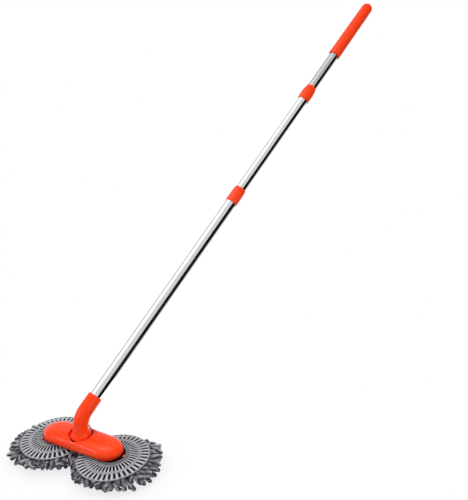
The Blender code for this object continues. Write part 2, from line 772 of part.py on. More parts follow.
def build_chenille(word, spin):
    """One backing with its strands joined to it."""
    seat_top = -(HUB_FLOOR_TOP + HUB_FLANGE_THICKNESS + 2 * GAP)
    bottom = seat_top - BACKING_THICKNESS
    step = HUB_FLANGE_RADIUS + 2 * GAP
    shoulder = -CONE_TOP - DISC_THICKNESS - cone_drop(step) - GAP
    rim = -CONE_TOP - DISC_THICKNESS - cone_drop(BACKING_RADIUS) - GAP
    outline = [
        (0, seat_top),
        (step, seat_top),
        (step, shoulder),
        (BACKING_RADIUS, rim),
        (BACKING_RADIUS, bottom),
        (0, bottom),
    ]
    pad = turned(f"chenille_pad_{word}", outline, ROUND_SIDES)
    put(pad, spin, paint=material(f"chenille_pad_{word}", CHENILLE, 0.95))

    section = bpy.data.curves.new(f"strand_section_{word}", "CURVE")
    corners = section.splines.new("POLY")
    corners.points.add(STRAND_SIDES - 1)
    for number, corner in enumerate(corners.points):
        turn = number * 2 * math.pi / STRAND_SIDES
        corner.co = (STRAND_RADIUS * math.cos(turn), STRAND_RADIUS * math.sin(turn), 0, 1)
    corners.use_cyclic_u = True
    curve = bpy.data.curves.new("strands", "CURVE")
    curve.dimensions = "3D"
    curve.bevel_mode = "OBJECT"
    curve.bevel_object = put_section(section)
    curve.use_fill_caps = True
    last = (STRAND_RINGS - 1) * STRAND_PITCH
    for number, (radius, angle) in enumerate(strand_feet()):
        swing = math.sin(SWING_RATE * number) * STRAND_LENGTH_SWING
        reach = radius * (STRAND_TIP_REACH / last - 1)
        length = STRAND_LENGTH + swing
        spline = curve.splines.new("POLY")
        spline.points.add(len(STRAND_SHARES) - 1)
        for point, (share, thickness) in zip(spline.points, STRAND_SHARES):
            out = radius + reach * share**STRAND_BOW_SHARE
            down = bottom + STRAND_SINK - (length + STRAND_SINK) * share
            point.co = (out * math.cos(angle), out * math.sin(angle), down, 1)
            point.radius = thickness
    strands = settled(bpy.data.objects.new(f"strands_{word}", curve))
    change(pad, put(strands, spin), "UNION")
    return pad


# Tubes. Three polished steel tubes that slide in each other. The two wider ones have a
# flared mouth for the clamping ferrule.
MOUTH_FLARE = 0.0006


def tube_outline(radius, low, high, flared):
    """The wall of a tube, with a flared mouth at its upper end if asked."""
    bore = radius - TUBE_WALL
    if not flared:
        return [(radius, high), (radius, low), (bore, low), (bore, high)]
    lip = radius + MOUTH_FLARE
    neck_low = high - MOUTH_DEPTH - MOUTH_FLARE
    return [
        (lip, high),
        (lip, high - MOUTH_DEPTH),
        (radius, neck_low),
        (radius, low),
        (bore, low),
        (bore, neck_low),
        (lip - TUBE_WALL, high - MOUTH_DEPTH),
        (lip - TUBE_WALL, high),
    ]


def build_tubes():
    """The lower, middle and upper tubes on the pole's axis."""
    lower = tube_outline(TUBE_LOWER_RADIUS, GAP - SOCKET_DEPTH, TUBE_LOWER_END, True)
    middle_start = TUBE_MIDDLE_END - TUBE_MIDDLE_LENGTH
    middle = tube_outline(TUBE_MIDDLE_RADIUS, middle_start, TUBE_MIDDLE_END, True)
    top = GRIP_START + GRIP_LENGTH - GRIP_END_WALL - GAP
    upper = tube_outline(TUBE_UPPER_RADIUS, top - TUBE_UPPER_LENGTH, top, False)
    for name, outline in (("tube_lower", lower), ("tube_middle", middle), ("tube_upper", upper)):
        put(turned(name, outline), pole, paint=material(name, STEEL, 0.12, 1.0))


# Guide plugs. A plastic bush in the inner end of each sliding tube, with a flange that
# runs in the tube round it.
PLUG_SPIGOT = 0.0200
PLUG_FLANGE = 0.0080
PLUG_BORE = 0.0030
PLUG_RUNNING_GAP = 0.0004


def build_plugs():
    """The bushes at the inner ends of the middle and upper tubes."""
    middle_start = TUBE_MIDDLE_END - TUBE_MIDDLE_LENGTH
    upper_start = GRIP_START + GRIP_LENGTH - GRIP_END_WALL - GAP - TUBE_UPPER_LENGTH
    for name, tube, outer, end in (
        ("guide_plug_middle", TUBE_MIDDLE_RADIUS, TUBE_LOWER_RADIUS, middle_start),
        ("guide_plug_upper", TUBE_UPPER_RADIUS, TUBE_MIDDLE_RADIUS, upper_start),
    ):
        spigot = tube - TUBE_WALL - GAP
        flange = outer - TUBE_WALL - PLUG_RUNNING_GAP
        outline = [
            (spigot, end + PLUG_SPIGOT),
            (spigot, end - GAP),
            (flange, end - GAP),
            (flange, end - GAP - PLUG_FLANGE),
            (PLUG_BORE, end - GAP - PLUG_FLANGE),
            (PLUG_BORE, end + PLUG_SPIGOT),
        ]
        put(turned(name, outline, INNER_SIDES), pole, paint=material(name, BLACK, 0.5))


# Clamping ferrules. Thin slotted sleeves seated in the flared mouths, inside the collars.
FERRULE_REACH = 0.0250
FERRULE_SLOTS = 2
FERRULE_SLOT_WIDTH = 0.0014
FERRULE_SLOT_LENGTH = 0.0150


def build_ferrule(name, outer_tube, inner_tube, tube_end):
    """One ferrule, with slots down from its upper end."""
    outer = outer_tube + MOUTH_FLARE - TUBE_WALL - GAP
    inner = inner_tube + SLIDE_GAP
    low = tube_end - MOUTH_DEPTH + GAP
    high = tube_end + FERRULE_REACH
    outline = [(outer, high), (outer, low), (inner, low), (inner, high)]
    ferrule = put(turned(name, outline, INNER_SIDES), pole, paint=material(name, BLACK, 0.5))
    for number in range(FERRULE_SLOTS):
        slot = box(f"{name}_slot", 2 * outer + OVERRUN, FERRULE_SLOT_WIDTH, FERRULE_SLOT_LENGTH + OVERRUN)
        middle = high - (FERRULE_SLOT_LENGTH - OVERRUN) / 2
        change(ferrule, put(slot, pole, (0, 0, middle), (0, 0, number * math.pi / FERRULE_SLOTS)))
    return ferrule


# Twist collars. Orange nuts that turn on the ferrules and close their fingers on the
# inner tube. The lower one has eight flats, and the upper one is a tapered barrel.
COLLAR_THROAT = 0.0100
COLLAR_FLATS = 8
COLLAR_FLAT_REACH = 0.0131
COLLAR_LOWER_OUTER = 0.0136
COLLAR_LOWER_TIP = 0.0123
COLLAR_LOWER_TAPER = 0.0140
COLLAR_UPPER_FOOT = 0.0131
COLLAR_UPPER_BELLY = 0.0136
COLLAR_UPPER_TIP = 0.0117
COLLAR_EDGE = 0.0010
COLLAR_FOOT_SHARE = 0.10
COLLAR_BELLY_SHARES = (0.30, 0.55)
COLLAR_SHOULDER_SHARE = 0.84


def collar_bore(ferrule_outer, inner_tube, low, high):
    """The inner side of a collar, from its upper mouth down."""
    throat = inner_tube + SLIDE_GAP
    wide = ferrule_outer + GAP
    return [(wide, low), (wide, high - COLLAR_THROAT), (throat, high - COLLAR_THROAT / 2), (throat, high)]


def build_collars():
    """Both twist collars."""
    low = TUBE_LOWER_END + GAP
    high = low + COLLAR_LOWER_LENGTH
    ferrule = TUBE_LOWER_RADIUS + MOUTH_FLARE - TUBE_WALL - GAP
    outline = [
        (COLLAR_LOWER_TIP, high),
        (COLLAR_LOWER_OUTER, high - COLLAR_LOWER_TAPER),
        (COLLAR_LOWER_OUTER, low + COLLAR_EDGE),
        (COLLAR_LOWER_OUTER - COLLAR_EDGE / 2, low),
    ]
    outline += collar_bore(ferrule, TUBE_MIDDLE_RADIUS, low, high)
    paint = material("lock_collar_lower", ORANGE, 0.3)
    collar = put(turned("lock_collar_lower", outline), pole, paint=paint)
    corner = COLLAR_FLAT_REACH / math.cos(math.pi / COLLAR_FLATS)
    flats = rod("collar_flats", corner, low - OVERRUN, high + OVERRUN, COLLAR_FLATS)
    change(collar, put(flats, pole), "INTERSECT")

    low = TUBE_MIDDLE_END + GAP
    high = low + COLLAR_UPPER_LENGTH
    ferrule = TUBE_MIDDLE_RADIUS + MOUTH_FLARE - TUBE_WALL - GAP
    span = high - low
    outline = [
        (COLLAR_UPPER_TIP - COLLAR_EDGE / 2, high),
        (COLLAR_UPPER_TIP, high - COLLAR_EDGE / 2),
        ((COLLAR_UPPER_TIP + COLLAR_UPPER_BELLY) / 2, low + span * COLLAR_SHOULDER_SHARE),
        (COLLAR_UPPER_BELLY, low + span * COLLAR_BELLY_SHARES[1]),
        (COLLAR_UPPER_BELLY, low + span * COLLAR_BELLY_SHARES[0]),
        (COLLAR_UPPER_FOOT, low + span * COLLAR_FOOT_SHARE),
        (COLLAR_UPPER_FOOT, low),
    ]
    outline += collar_bore(ferrule, TUBE_UPPER_RADIUS, low, high)
    paint = material("lock_collar_upper", ORANGE, 0.3)
    put(turned("lock_collar_upper", outline), pole, paint=paint)


# Grip. A smooth orange sleeve over the end of the upper tube, with a round closed end.
GRIP_FOOT_RADIUS = 0.0133
GRIP_END_RADIUS = 0.0125
GRIP_END_WALL = 0.0100
GRIP_EDGE = 0.0008
GRIP_ROUND_STEPS = 5


def build_grip():
    """The hand grip, bored for the upper tube."""
    end = GRIP_START + GRIP_LENGTH
    dome_low = end - GRIP_END_RADIUS
    outline = arc(0, dome_low, GRIP_END_RADIUS, QUARTER, 0, GRIP_ROUND_STEPS)
    outline[0] = (0, end)
    outline += [
        (GRIP_FOOT_RADIUS, GRIP_START + GRIP_EDGE),
        (GRIP_FOOT_RADIUS - GRIP_EDGE, GRIP_START),
        (0, GRIP_START),
    ]
    grip = put(turned("grip", outline), pole, paint=material("grip", ORANGE, 0.3))
    bore = rod("grip_bore", TUBE_UPPER_RADIUS + GAP, GRIP_START - OVERRUN, end - GRIP_END_WALL)
    change(grip, put(bore, pole))


build_neck()
build_tilt_pin()
build_yoke()
build_cover()
build_base()
build_cover_screws()
for side, word in ((-1, "left"), (1, "right")):
    build_axles(side, word)
    spin_axis = build_hub(side, word)
    build_pad_plate(word, spin_axis)
    build_chenille(word, spin_axis)
build_tubes()
build_plugs()
build_ferrule("lock_ferrule_lower", TUBE_LOWER_RADIUS, TUBE_MIDDLE_RADIUS, TUBE_LOWER_END)
build_ferrule("lock_ferrule_upper", TUBE_MIDDLE_RADIUS, TUBE_UPPER_RADIUS, TUBE_MIDDLE_END)
build_collars()
build_grip()
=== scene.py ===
"""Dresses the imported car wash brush: smooth shapes, real finishes, and a plain studio round it.

Metres, Z up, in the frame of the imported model.
"""

import math
import random

import bmesh
import bpy
from mathutils import Matrix, Vector


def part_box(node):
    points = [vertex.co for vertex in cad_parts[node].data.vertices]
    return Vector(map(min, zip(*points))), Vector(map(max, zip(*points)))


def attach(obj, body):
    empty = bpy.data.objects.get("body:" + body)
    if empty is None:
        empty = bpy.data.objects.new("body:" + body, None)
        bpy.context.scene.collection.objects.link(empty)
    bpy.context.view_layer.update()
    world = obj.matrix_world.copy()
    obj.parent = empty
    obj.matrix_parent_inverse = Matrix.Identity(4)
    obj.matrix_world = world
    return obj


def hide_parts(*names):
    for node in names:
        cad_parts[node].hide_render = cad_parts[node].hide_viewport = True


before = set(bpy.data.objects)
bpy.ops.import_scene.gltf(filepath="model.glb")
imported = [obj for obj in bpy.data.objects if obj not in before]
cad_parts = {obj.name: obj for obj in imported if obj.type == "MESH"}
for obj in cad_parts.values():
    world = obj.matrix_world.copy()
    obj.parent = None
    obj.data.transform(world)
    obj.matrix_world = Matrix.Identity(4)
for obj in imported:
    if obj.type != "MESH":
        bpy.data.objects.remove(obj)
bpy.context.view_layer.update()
FLOOR_HEIGHT = -0.0415


# Crossbar cover. One shell of glossy orange plastic, injection moulded: a dome over a long
# stadium plan, with a round well for the foot of the neck. Screws hold it from below.
class Wire:
    """One socket of a material. Arithmetic on it adds Math nodes to that material."""

    def __init__(self, material, socket):
        self.material = material
        self.socket = socket

    def node(self, kind, settings, sockets, out=0):
        """A node of any kind: its settings first, then the values or links of its sockets."""
        made = self.material.node_tree.nodes.new(kind)
        for name, value in settings.items():
            if name == "stops":
                for stop, (place, colour) in zip(made.color_ramp.elements, value):
                    stop.position = place
                    stop.color = (*colour, 1.0)
            else:
                setattr(made, name, value)
        for name, value in sockets.items():
            if isinstance(value, Wire):
                self.material.node_tree.links.new(value.socket, made.inputs[name])
            else:
                made.inputs[name].default_value = value
        return Wire(self.material, made.outputs[out])

    def sum_of(self, operation, first, second):
        """A Math node on two values."""
        return self.node("ShaderNodeMath", {"operation": operation}, {0: first, 1: second})

    def __add__(self, other):
        return self.sum_of("ADD", self, other)

    def __sub__(self, other):
        return self.sum_of("SUBTRACT", self, other)

    def __rsub__(self, other):
        return self.sum_of("SUBTRACT", other, self)

    def __mul__(self, other):
        return self.sum_of("MULTIPLY", self, other)

    __radd__ = __add__
    __rmul__ = __mul__

    def step(self, start, end):
        """A smooth step of this value, 0 at start and 1 at end."""
        settings = {"interpolation_type": "SMOOTHSTEP"}
        return self.node("ShaderNodeMapRange", settings, {0: self, 1: start, 2: end})

    def noise(self, scale, detail=2.0):
        """A noise value on these coordinates."""
        return self.node("ShaderNodeTexNoise", {}, {"Vector": self, "Scale": scale, "Detail": detail})

    def shift(self, operation, vector, out=0):
        """A Vector Math node on these coordinates."""
        return self.node("ShaderNodeVectorMath", {"operation": operation}, {0: self, 1: vector}, out)

    def blend(self, first, second):
        """Two colours mixed by this value."""
        return self.node("ShaderNodeMix", {"data_type": "RGBA"}, {0: self, 6: first, 7: second}, 2)

    def bump(self, depth):
        """A normal from this height, in metres of depth."""
        return self.node("ShaderNodeBump", {}, {"Strength": 1.0, "Distance": depth, "Height": self})

    def into(self, name):
        """Lead this value into the material's shader."""
        shader = self.material.node_tree.nodes["Principled BSDF"]
        self.material.node_tree.links.new(self.socket, shader.inputs[name])


def finish(name, constants):
    """A new material with constants on its shader. Gives its Object coordinates."""
    made = bpy.data.materials.new(name)
    made.use_nodes = True
    for socket, value in constants.items():
        made.node_tree.nodes["Principled BSDF"].inputs[socket].default_value = value
    coordinates = made.node_tree.nodes.new("ShaderNodeTexCoord")
    return Wire(made, coordinates.outputs["Object"])


def moulded_orange(name, roughness):
    """Orange polypropylene: a soft flow mottle, a faint orange peel and a fine rub of handling."""
    place = finish(name, {"Specular IOR Level": 0.17})
    flow = place.noise(26.0, 3.0)
    flow.step(0.3, 0.7).blend((0.905, 0.043, 0.0026, 1), (0.955, 0.053, 0.0038, 1)).into("Base Color")
    rub = place.noise(210.0, 4.0)
    (rub * 0.10 + (roughness - 0.05)).into("Roughness")
    return place


def piece(name, work, paint, body, replaced):
    """A finished mesh as a piece of the brush, riding on its body for its CAD nodes."""
    bmesh.ops.remove_doubles(work, verts=work.verts, dist=0.00001)
    bmesh.ops.recalc_face_normals(work, faces=work.faces)
    mesh = bpy.data.meshes.new(name)
    work.to_mesh(mesh)
    work.free()
    mesh.shade_smooth()
    mesh.set_sharp_from_angle(angle=math.radians(35))
    mesh.materials.append(paint.material)
    made = bpy.data.objects.new(name, mesh)
    bpy.context.scene.collection.objects.link(made)
    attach(made, body)
    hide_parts(*replaced)
    return made


def grow(work, loop):
    """Extrude a loop of edges and give the new loop, with its vertices in the old order."""
    grown = bmesh.ops.extrude_edge_only(work, edges=loop)["geom"]
    return [part for part in grown if isinstance(part, bmesh.types.BMEdge)]


def loop_verts(loop):
    """The vertices of a loop of edges."""
    return list({vert for edge in loop for vert in edge.verts})


COVER_LOW, COVER_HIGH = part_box("crossbar_cover")
COVER_HALF_LENGTH = COVER_HIGH.x
COVER_HALF_WIDTH = COVER_HIGH.y
COVER_END = COVER_HALF_WIDTH + 0.0100
COVER_SPINE = COVER_HALF_LENGTH - COVER_END
COVER_CROWN = COVER_HIGH.z + 0.0012
COVER_SQUARENESS = 2.9
COVER_END_FALL = 0.22
COVER_WALL = 0.0022
COVER_SIDES = 240
COVER_RINGS = 22
WELL_RADIUS = 0.0260
WELL_HOLE = 0.0224
WELL_FLOOR = 0.0168
WELL_DEEP = 0.0068
WELL_LIP = 0.0013


def cover_height(x, y):
    """The height of the dome over a place."""
    aside = math.hypot(max(abs(x) - COVER_SPINE, 0) / COVER_END, y / COVER_HALF_WIDTH)
    lift = (1 - min(aside, 1) ** COVER_SQUARENESS) ** (1 / COVER_SQUARENESS)
    fall = 1 - COVER_END_FALL * (x / COVER_HALF_LENGTH) ** 2
    return COVER_LOW.z + (COVER_CROWN - COVER_LOW.z) * lift * fall


def cover_reach(heading):
    """How far the outline, straight sides and oval ends, is from the middle in one direction."""
    along = abs(math.cos(heading))
    across = abs(math.sin(heading))
    if COVER_HALF_WIDTH * along < COVER_SPINE * across:
        return COVER_HALF_WIDTH / across
    square = (along / COVER_END) ** 2 + (across / COVER_HALF_WIDTH) ** 2
    half = along * COVER_SPINE / COVER_END**2
    rest = (COVER_SPINE / COVER_END) ** 2 - 1
    return (half + math.sqrt(half**2 - square * rest)) / square


work = bmesh.new()
bmesh.ops.create_circle(work, segments=COVER_SIDES, radius=WELL_HOLE)
for vert in work.verts:
    vert.co.z = WELL_DEEP
loop = grow(work, work.edges[:])
for vert in loop_verts(loop):
    vert.co.z = WELL_FLOOR
loop = grow(work, loop)
for vert in loop_verts(loop):
    vert.co = (vert.co.x * WELL_RADIUS / WELL_HOLE, vert.co.y * WELL_RADIUS / WELL_HOLE, WELL_FLOOR)
loop = grow(work, loop)
for vert in loop_verts(loop):
    vert.co.z = cover_height(vert.co.x, vert.co.y)
lip = loop
for ring in range(1, COVER_RINGS + 1):
    loop = grow(work, loop)
    share = 1 - (1 - ring / COVER_RINGS) ** 2.1
    for vert in loop_verts(loop):
        heading = math.atan2(vert.co.y, vert.co.x)
        reach = WELL_RADIUS + (cover_reach(heading) - WELL_RADIUS) * share
        place = (reach * math.cos(heading), reach * math.sin(heading))
        vert.co = (*place, cover_height(*place))
bmesh.ops.bevel(
    work, geom=lip, offset=WELL_LIP, segments=5, profile=0.5, affect="EDGES", material=-1
)

orange = moulded_orange("cover_orange", 0.27)
marks = orange.shift("DISTANCE", (-0.0730, 0.0010, COVER_HIGH.z), 1).step(0.0042, 0.0016)
marks = marks + orange.shift("DISTANCE", (0.0655, 0.0005, COVER_HIGH.z), 1).step(0.0042, 0.0016)
peel = orange.noise(700.0, 2.0) * 0.06
(peel - marks * 5.0).bump(0.00022).into("Normal")
cover = piece("cover_shell", work, orange, "crossbar", ["crossbar_cover"])
wall = cover.modifiers.new("wall", "SOLIDIFY")
wall.thickness = COVER_WALL
wall.offset = -1


# Base, yoke and fixings. The base plate and the turntable are matt orange mouldings, painted
# a deep dark red as shade under the cover, and the screws, washers and tilt pin are bright
# zinc-plated steel. The CAD shapes stay.
def zinc(name):
    """Zinc-plated steel with fine tool marks and dull patches."""
    place = finish(name, {"Metallic": 1.0})
    cloud = place.noise(420.0, 3.0)
    cloud.blend((0.55, 0.56, 0.58, 1), (0.74, 0.75, 0.76, 1)).into("Base Color")
    (cloud * 0.25 + 0.2).into("Roughness")
    place.noise(2600.0, 2.0).bump(0.00002).into("Normal")
    return place


def matt_plastic(name, dark, light, roughness):
    """A plain moulded plastic with a spark-eroded grain."""
    place = finish(name, {"Specular IOR Level": 0.4})
    cloud = place.noise(60.0, 3.0)
    cloud.step(0.3, 0.7).blend(dark, light).into("Base Color")
    grain = place.noise(2200.0, 2.0)
    (grain * 0.12 + roughness).into("Roughness")
    grain.bump(0.00003).into("Normal")
    return place


def coat(names, paint):
    """Give CAD nodes a finish, in every material slot that they have."""
    for name in names:
        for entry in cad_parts[name].material_slots:
            entry.material = paint.material


# Painted shade: the base and the turntable sit in shadow under the cover, so their orange is painted a deep dark
# red.
turntable_orange_painted_shade = matt_plastic("turntable_orange_painted_shade", (0.42, 0.012, 0.002, 1), (0.50, 0.016, 0.003, 1), 0.4)
coat(["crossbar_base", "swivel_yoke"], turntable_orange_painted_shade)
fixings = [f"cover_screw_{number}" for number in range(1, 5)]
fixings += ["axle_screw_left", "axle_screw_right", "axle_washer_left", "axle_washer_right"]
coat(fixings + ["tilt_pin"], zinc("zinc_plate"))


# Neck. A glossy orange elbow, moulded in one piece: a ball foot that fills the well of the
# cover and is slotted for the lug, a bend, and a socket for the lower tube.
PIN_HEIGHT = 0.0130
POLE_RISE = math.radians(35)
POLE_TURN = math.radians(15)
NECK_RISE = math.radians(86)
NECK_FOOT_STRAIGHT = 0.0190
NECK_BEND_RADIUS = 0.0475
NECK_BEND = NECK_BEND_RADIUS * (NECK_RISE - POLE_RISE)
NECK_TOP_STRAIGHT = 0.0303
NECK_LENGTH = NECK_FOOT_STRAIGHT + NECK_BEND + NECK_TOP_STRAIGHT
NECK_RADIUS = 0.0154
NECK_RIM_RADIUS = 0.0145
NECK_RIM_ROUND = 0.0012
NECK_SIDES = 72
FOOT_RADIUS = 0.0219
FOOT_DROP = 0.0050
FLARE_START = 0.0130
FLARE_LENGTH = 0.0150
SOCKET_RADIUS = 0.0128
SOCKET_DEPTH = 0.0300
SLOT_TAPER = 0.40


def neck_axis(along):
    """A point of the neck's axis as (out, up) from the tilt pin, and the rise there."""
    bent = min(max(along - NECK_FOOT_STRAIGHT, 0), NECK_BEND)
    rise = NECK_RISE - bent / NECK_BEND_RADIUS
    out = math.cos(NECK_RISE) * min(along, NECK_FOOT_STRAIGHT)
    up = math.sin(NECK_RISE) * min(along, NECK_FOOT_STRAIGHT)
    out += NECK_BEND_RADIUS * (math.sin(NECK_RISE) - math.sin(rise))
    up += NECK_BEND_RADIUS * (math.cos(rise) - math.cos(NECK_RISE))
    rest = max(along - NECK_FOOT_STRAIGHT - NECK_BEND, 0)
    return out + rest * math.cos(POLE_RISE), up + rest * math.sin(POLE_RISE), rise


def neck_radius(along):
    """The neck's radius: a ball at the foot, a flare above it, then a slow taper."""
    if along < FLARE_START:
        return math.sqrt(FOOT_RADIUS**2 - along**2)
    share = min((along - FLARE_START) / FLARE_LENGTH, 1)
    shoulder = math.sqrt(FOOT_RADIUS**2 - FLARE_START**2)
    taper = (NECK_RIM_RADIUS - NECK_RADIUS) * (along - FLARE_START) / NECK_LENGTH
    return NECK_RADIUS + (shoulder - NECK_RADIUS) * (1 - share) ** 3 + taper


stations = [(share / 40 * NECK_LENGTH - FOOT_DROP * (1 - share / 40)) for share in range(40)]
profile = [(along, neck_radius(along)) for along in stations]
profile = [pair for pair in profile if pair[0] < NECK_LENGTH - NECK_RIM_ROUND]
for turn in (0, 30, 60, 90):
    lean = math.radians(turn)
    along = NECK_LENGTH - NECK_RIM_ROUND * (1 - math.sin(lean))
    profile.append((along, NECK_RIM_RADIUS - NECK_RIM_ROUND * (1 - math.cos(lean))))
profile += [
    (NECK_LENGTH, SOCKET_RADIUS + 0.0004),
    (NECK_LENGTH - 0.0004, SOCKET_RADIUS),
    (NECK_LENGTH - SOCKET_DEPTH, SOCKET_RADIUS),
]
work = bmesh.new()
bmesh.ops.create_circle(work, segments=NECK_SIDES, radius=1, cap_ends=True)
for vert in work.verts:
    vert.co = vert.co * neck_radius(-FOOT_DROP)
loop = work.edges[:]
previous = None
for along, radius in profile:
    out, up, rise = neck_axis(along)
    turn = Matrix.Rotation(rise - math.pi / 2, 3, "X")
    if previous is not None:
        loop = grow(work, loop)
    for vert in loop_verts(loop):
        flat = vert.co if previous is None else previous[1].inverted() @ (vert.co - previous[0])
        flat = Vector((flat.x, flat.y, 0)).normalized() * radius
        vert.co = turn @ flat + Vector((0, out, up))
    previous = (Vector((0, out, up)), turn)
bmesh.ops.contextual_create(work, geom=loop)
foot_turn = Matrix.Rotation(NECK_RISE - math.pi / 2, 3, "X")
for side in (-1, 1):
    down = Vector((0, side * math.sin(math.radians(30)), -math.cos(math.radians(30))))
    bmesh.ops.bisect_plane(
        work,
        geom=work.verts[:] + work.edges[:] + work.faces[:],
        plane_co=foot_turn @ Vector((0, side * 0.0040, -FOOT_DROP)),
        plane_no=foot_turn @ down,
        clear_outer=True,
    )
    rim = [edge for edge in work.edges if edge.is_boundary]
    bmesh.ops.contextual_create(work, geom=rim)
in_neck_plane = Matrix.Rotation(-POLE_TURN, 4, "Z") @ Matrix.Translation((0, 0, PIN_HEIGHT))
bmesh.ops.transform(work, matrix=in_neck_plane, verts=work.verts)

orange = moulded_orange("neck_orange", 0.28)
(orange.noise(700.0, 2.0) * 0.06).bump(0.00022).into("Normal")
neck = piece("neck_elbow", work, orange, "lower_section", ["neck"])


def carve(made, cutter):
    """Cut a tool out of a piece for good, and drop the tool."""
    mesh = bpy.data.meshes.new("cutter")
    bmesh.ops.recalc_face_normals(cutter, faces=cutter.faces)
    cutter.to_mesh(mesh)
    cutter.free()
    tool = bpy.data.objects.new("cutter", mesh)
    bpy.context.scene.collection.objects.link(tool)
    cut = made.modifiers.new("cut", "BOOLEAN")
    cut.object = tool
    cut.solver = "EXACT"
    graph = bpy.context.evaluated_depsgraph_get()
    made.data = bpy.data.meshes.new_from_object(made.evaluated_get(graph))
    made.modifiers.clear()
    bpy.data.objects.remove(tool, do_unlink=True)


work = bmesh.new()
bmesh.ops.create_cube(work, size=1)
bmesh.ops.scale(work, vec=(0.0108, 0.0470, 0.0154), verts=work.verts)
bmesh.ops.translate(work, vec=(0, 0, -0.0004), verts=work.verts)
for vert in work.verts:
    if vert.co.z > 0:
        vert.co.y *= SLOT_TAPER
bmesh.ops.transform(work, matrix=in_neck_plane @ foot_turn.to_4x4(), verts=work.verts)
carve(neck, work)


# Hubs. Orange dishes that turn on the axle screws. The raised rim of each one carries the
# grey disc, and three bayonet lugs on it grip the collar of the disc.
HUB_SIDES = 96
HUB_OUTLINE = [
    (0.0095, -0.0003),
    (0.0095, -0.0070),
    (0.0233, -0.0070),
    (0.0233, -0.0042),
    (0.0250, -0.0042),
    (0.0250, -0.0073),
    (0.0333, -0.0073),
    (0.0333, -0.0096),
    (0.0076, -0.0096),
    (0.0076, -0.0052),
    (0.0033, -0.0052),
    (0.0033, -0.0003),
]
LUG_SECTION = [
    (0.0236, -0.0060),
    (0.0248, -0.0060),
    (0.0248, -0.0019),
    (0.0273, -0.0019),
    (0.0273, -0.0009),
    (0.0236, -0.0009),
]
LUG_TURN = math.radians(9)
LUG_PITCH = math.radians(17)
HUB_SLOT_SECTION = [(0.0149, -0.0126), (0.0191, -0.0126), (0.0191, -0.0040), (0.0149, -0.0040)]
HUB_SLOT_TURN = math.radians(38)


def spun(work, outline, sides, start=0.0, turn=2 * math.pi):
    """Spin a closed outline of (radius, height) pairs about Z, all round or through a turn."""
    whole = turn > 6
    verts = [work.verts.new((radius, 0, height)) for radius, height in outline]
    bmesh.ops.rotate(work, matrix=Matrix.Rotation(start, 3, "Z"), verts=verts)
    if whole:
        edges = [work.edges.new(pair) for pair in zip(verts, verts[1:] + verts[:1])]
        section = verts + edges
    else:
        section = [work.faces.new(verts)]
    bmesh.ops.spin(
        work,
        geom=section,
        cent=(0, 0, 0),
        axis=(0, 0, 1),
        angle=turn,
        steps=sides,
        use_merge=whole,
        use_duplicate=False,
    )


def soften(work, width, segments=2, angle=40):
    """Round the edges of a form that are sharper than an angle."""
    bmesh.ops.remove_doubles(work, verts=work.verts, dist=0.00001)
    bmesh.ops.recalc_face_normals(work, faces=work.faces)
    sharp = [
        edge for edge in work.edges
        if edge.is_manifold and edge.calc_face_angle() > math.radians(angle)
    ]
    bmesh.ops.bevel(
        work,
        geom=sharp,
        offset=width,
        segments=segments,
        profile=0.5,
        affect="EDGES",
        material=-1,
        clamp_overlap=True,
    )


DISC_X = 0.0761
for side, word in ((-1, "left"), (1, "right")):
    work = bmesh.new()
    spun(work, HUB_OUTLINE, HUB_SIDES)
    soften(work, 0.0003)
    for number in range(6):
        middle = number // 2 * 2 * math.pi / 3 + (number % 2 - 0.5) * LUG_PITCH
        spun(work, LUG_SECTION, 4, middle - LUG_TURN / 2, LUG_TURN)
    bmesh.ops.translate(work, vec=(side * DISC_X, 0, 0), verts=work.verts)
    orange = moulded_orange(f"hub_orange_painted_shade_and_highlight_{word}", 0.33)
    # Painted shade and highlight by height: the hub is painted dark red low down, where it lies in shadow under the
    # cover, and pale pink on the lug tops as a painted highlight.
    height = orange.node("ShaderNodeSeparateXYZ", {}, {0: orange}, 2)
    height.step(-0.0030, -0.0014).blend((0.080, 0.003, 0.001, 1), (0.900, 0.180, 0.090, 1)).into("Base Color")
    (orange.noise(700.0, 2.0) * 0.05).bump(0.00022).into("Normal")
    hub = piece(f"hub_dish_{word}", work, orange, f"disc_{word}", [f"hub_{word}"])
    work = bmesh.new()
    for number in range(4):
        start = (number + 0.5) * math.pi / 2 - HUB_SLOT_TURN / 2
        spun(work, HUB_SLOT_SECTION, 6, start, HUB_SLOT_TURN)
    bmesh.ops.translate(work, vec=(side * DISC_X, 0, 0), verts=work.verts)
    carve(hub, work)


# Grey discs. Each is one grey moulding, a little coned: a smooth raised collar round the
# hub, a ring of short crowned ribs, a plain band, and a ring of longer ribs by the rim.
RIB_COUNT = 42
PITCH = 2 * math.pi / RIB_COUNT
DISC_WALL = 0.0024
INNER_SLOTS = (0.0343, 0.0488, 0.00150)
OUTER_SLOTS = (0.0540, 0.0688, 0.00175)
RIB_CROWN = 0.0010


def disc_height(radius):
    """The height of the disc's upper face, without the crown of its ribs."""
    if radius < 0.0321:
        return -0.0022
    if radius < 0.0333:
        return -0.0022 - 0.0018 * (radius - 0.0321) / 0.0012
    return -0.0040 - 0.0040 * (radius - 0.0333) / 0.0363


def slot_half(radius, ring):
    """Half of a slot's width at a radius, with rounded ends, or 0 outside its ring."""
    start, end, half = ring
    if radius < start - 0.00001 or radius > end + 0.00001:
        return 0.0
    nearest = min(radius - start, end - radius)
    return half * (0.30 + 0.70 * math.sqrt(min(nearest / 0.0012, 1)))


ROWS = [0.0258, 0.0261, 0.0280, 0.0300, 0.0316, 0.0321, 0.0325, 0.0329, 0.0333, 0.0338]
for ring_start, ring_end, _ in (INNER_SLOTS, OUTER_SLOTS):
    ROWS += [ring_start, ring_start + 0.0003, ring_start + 0.0012]
    ROWS += [ring_start + (ring_end - ring_start) * share for share in (0.25, 0.5, 0.75)]
    ROWS += [ring_end - 0.0012, ring_end - 0.0003, ring_end]
    ROWS += [ring_end + 0.0005]
    if ring_end < 0.05:
        ROWS += [0.0506, 0.0518, 0.0528]
ROWS += [0.0704, 0.0713, 0.0718]
COLUMNS = (-1.0, -0.5, -0.25, 0.0, 0.25, 0.5, 1.0)


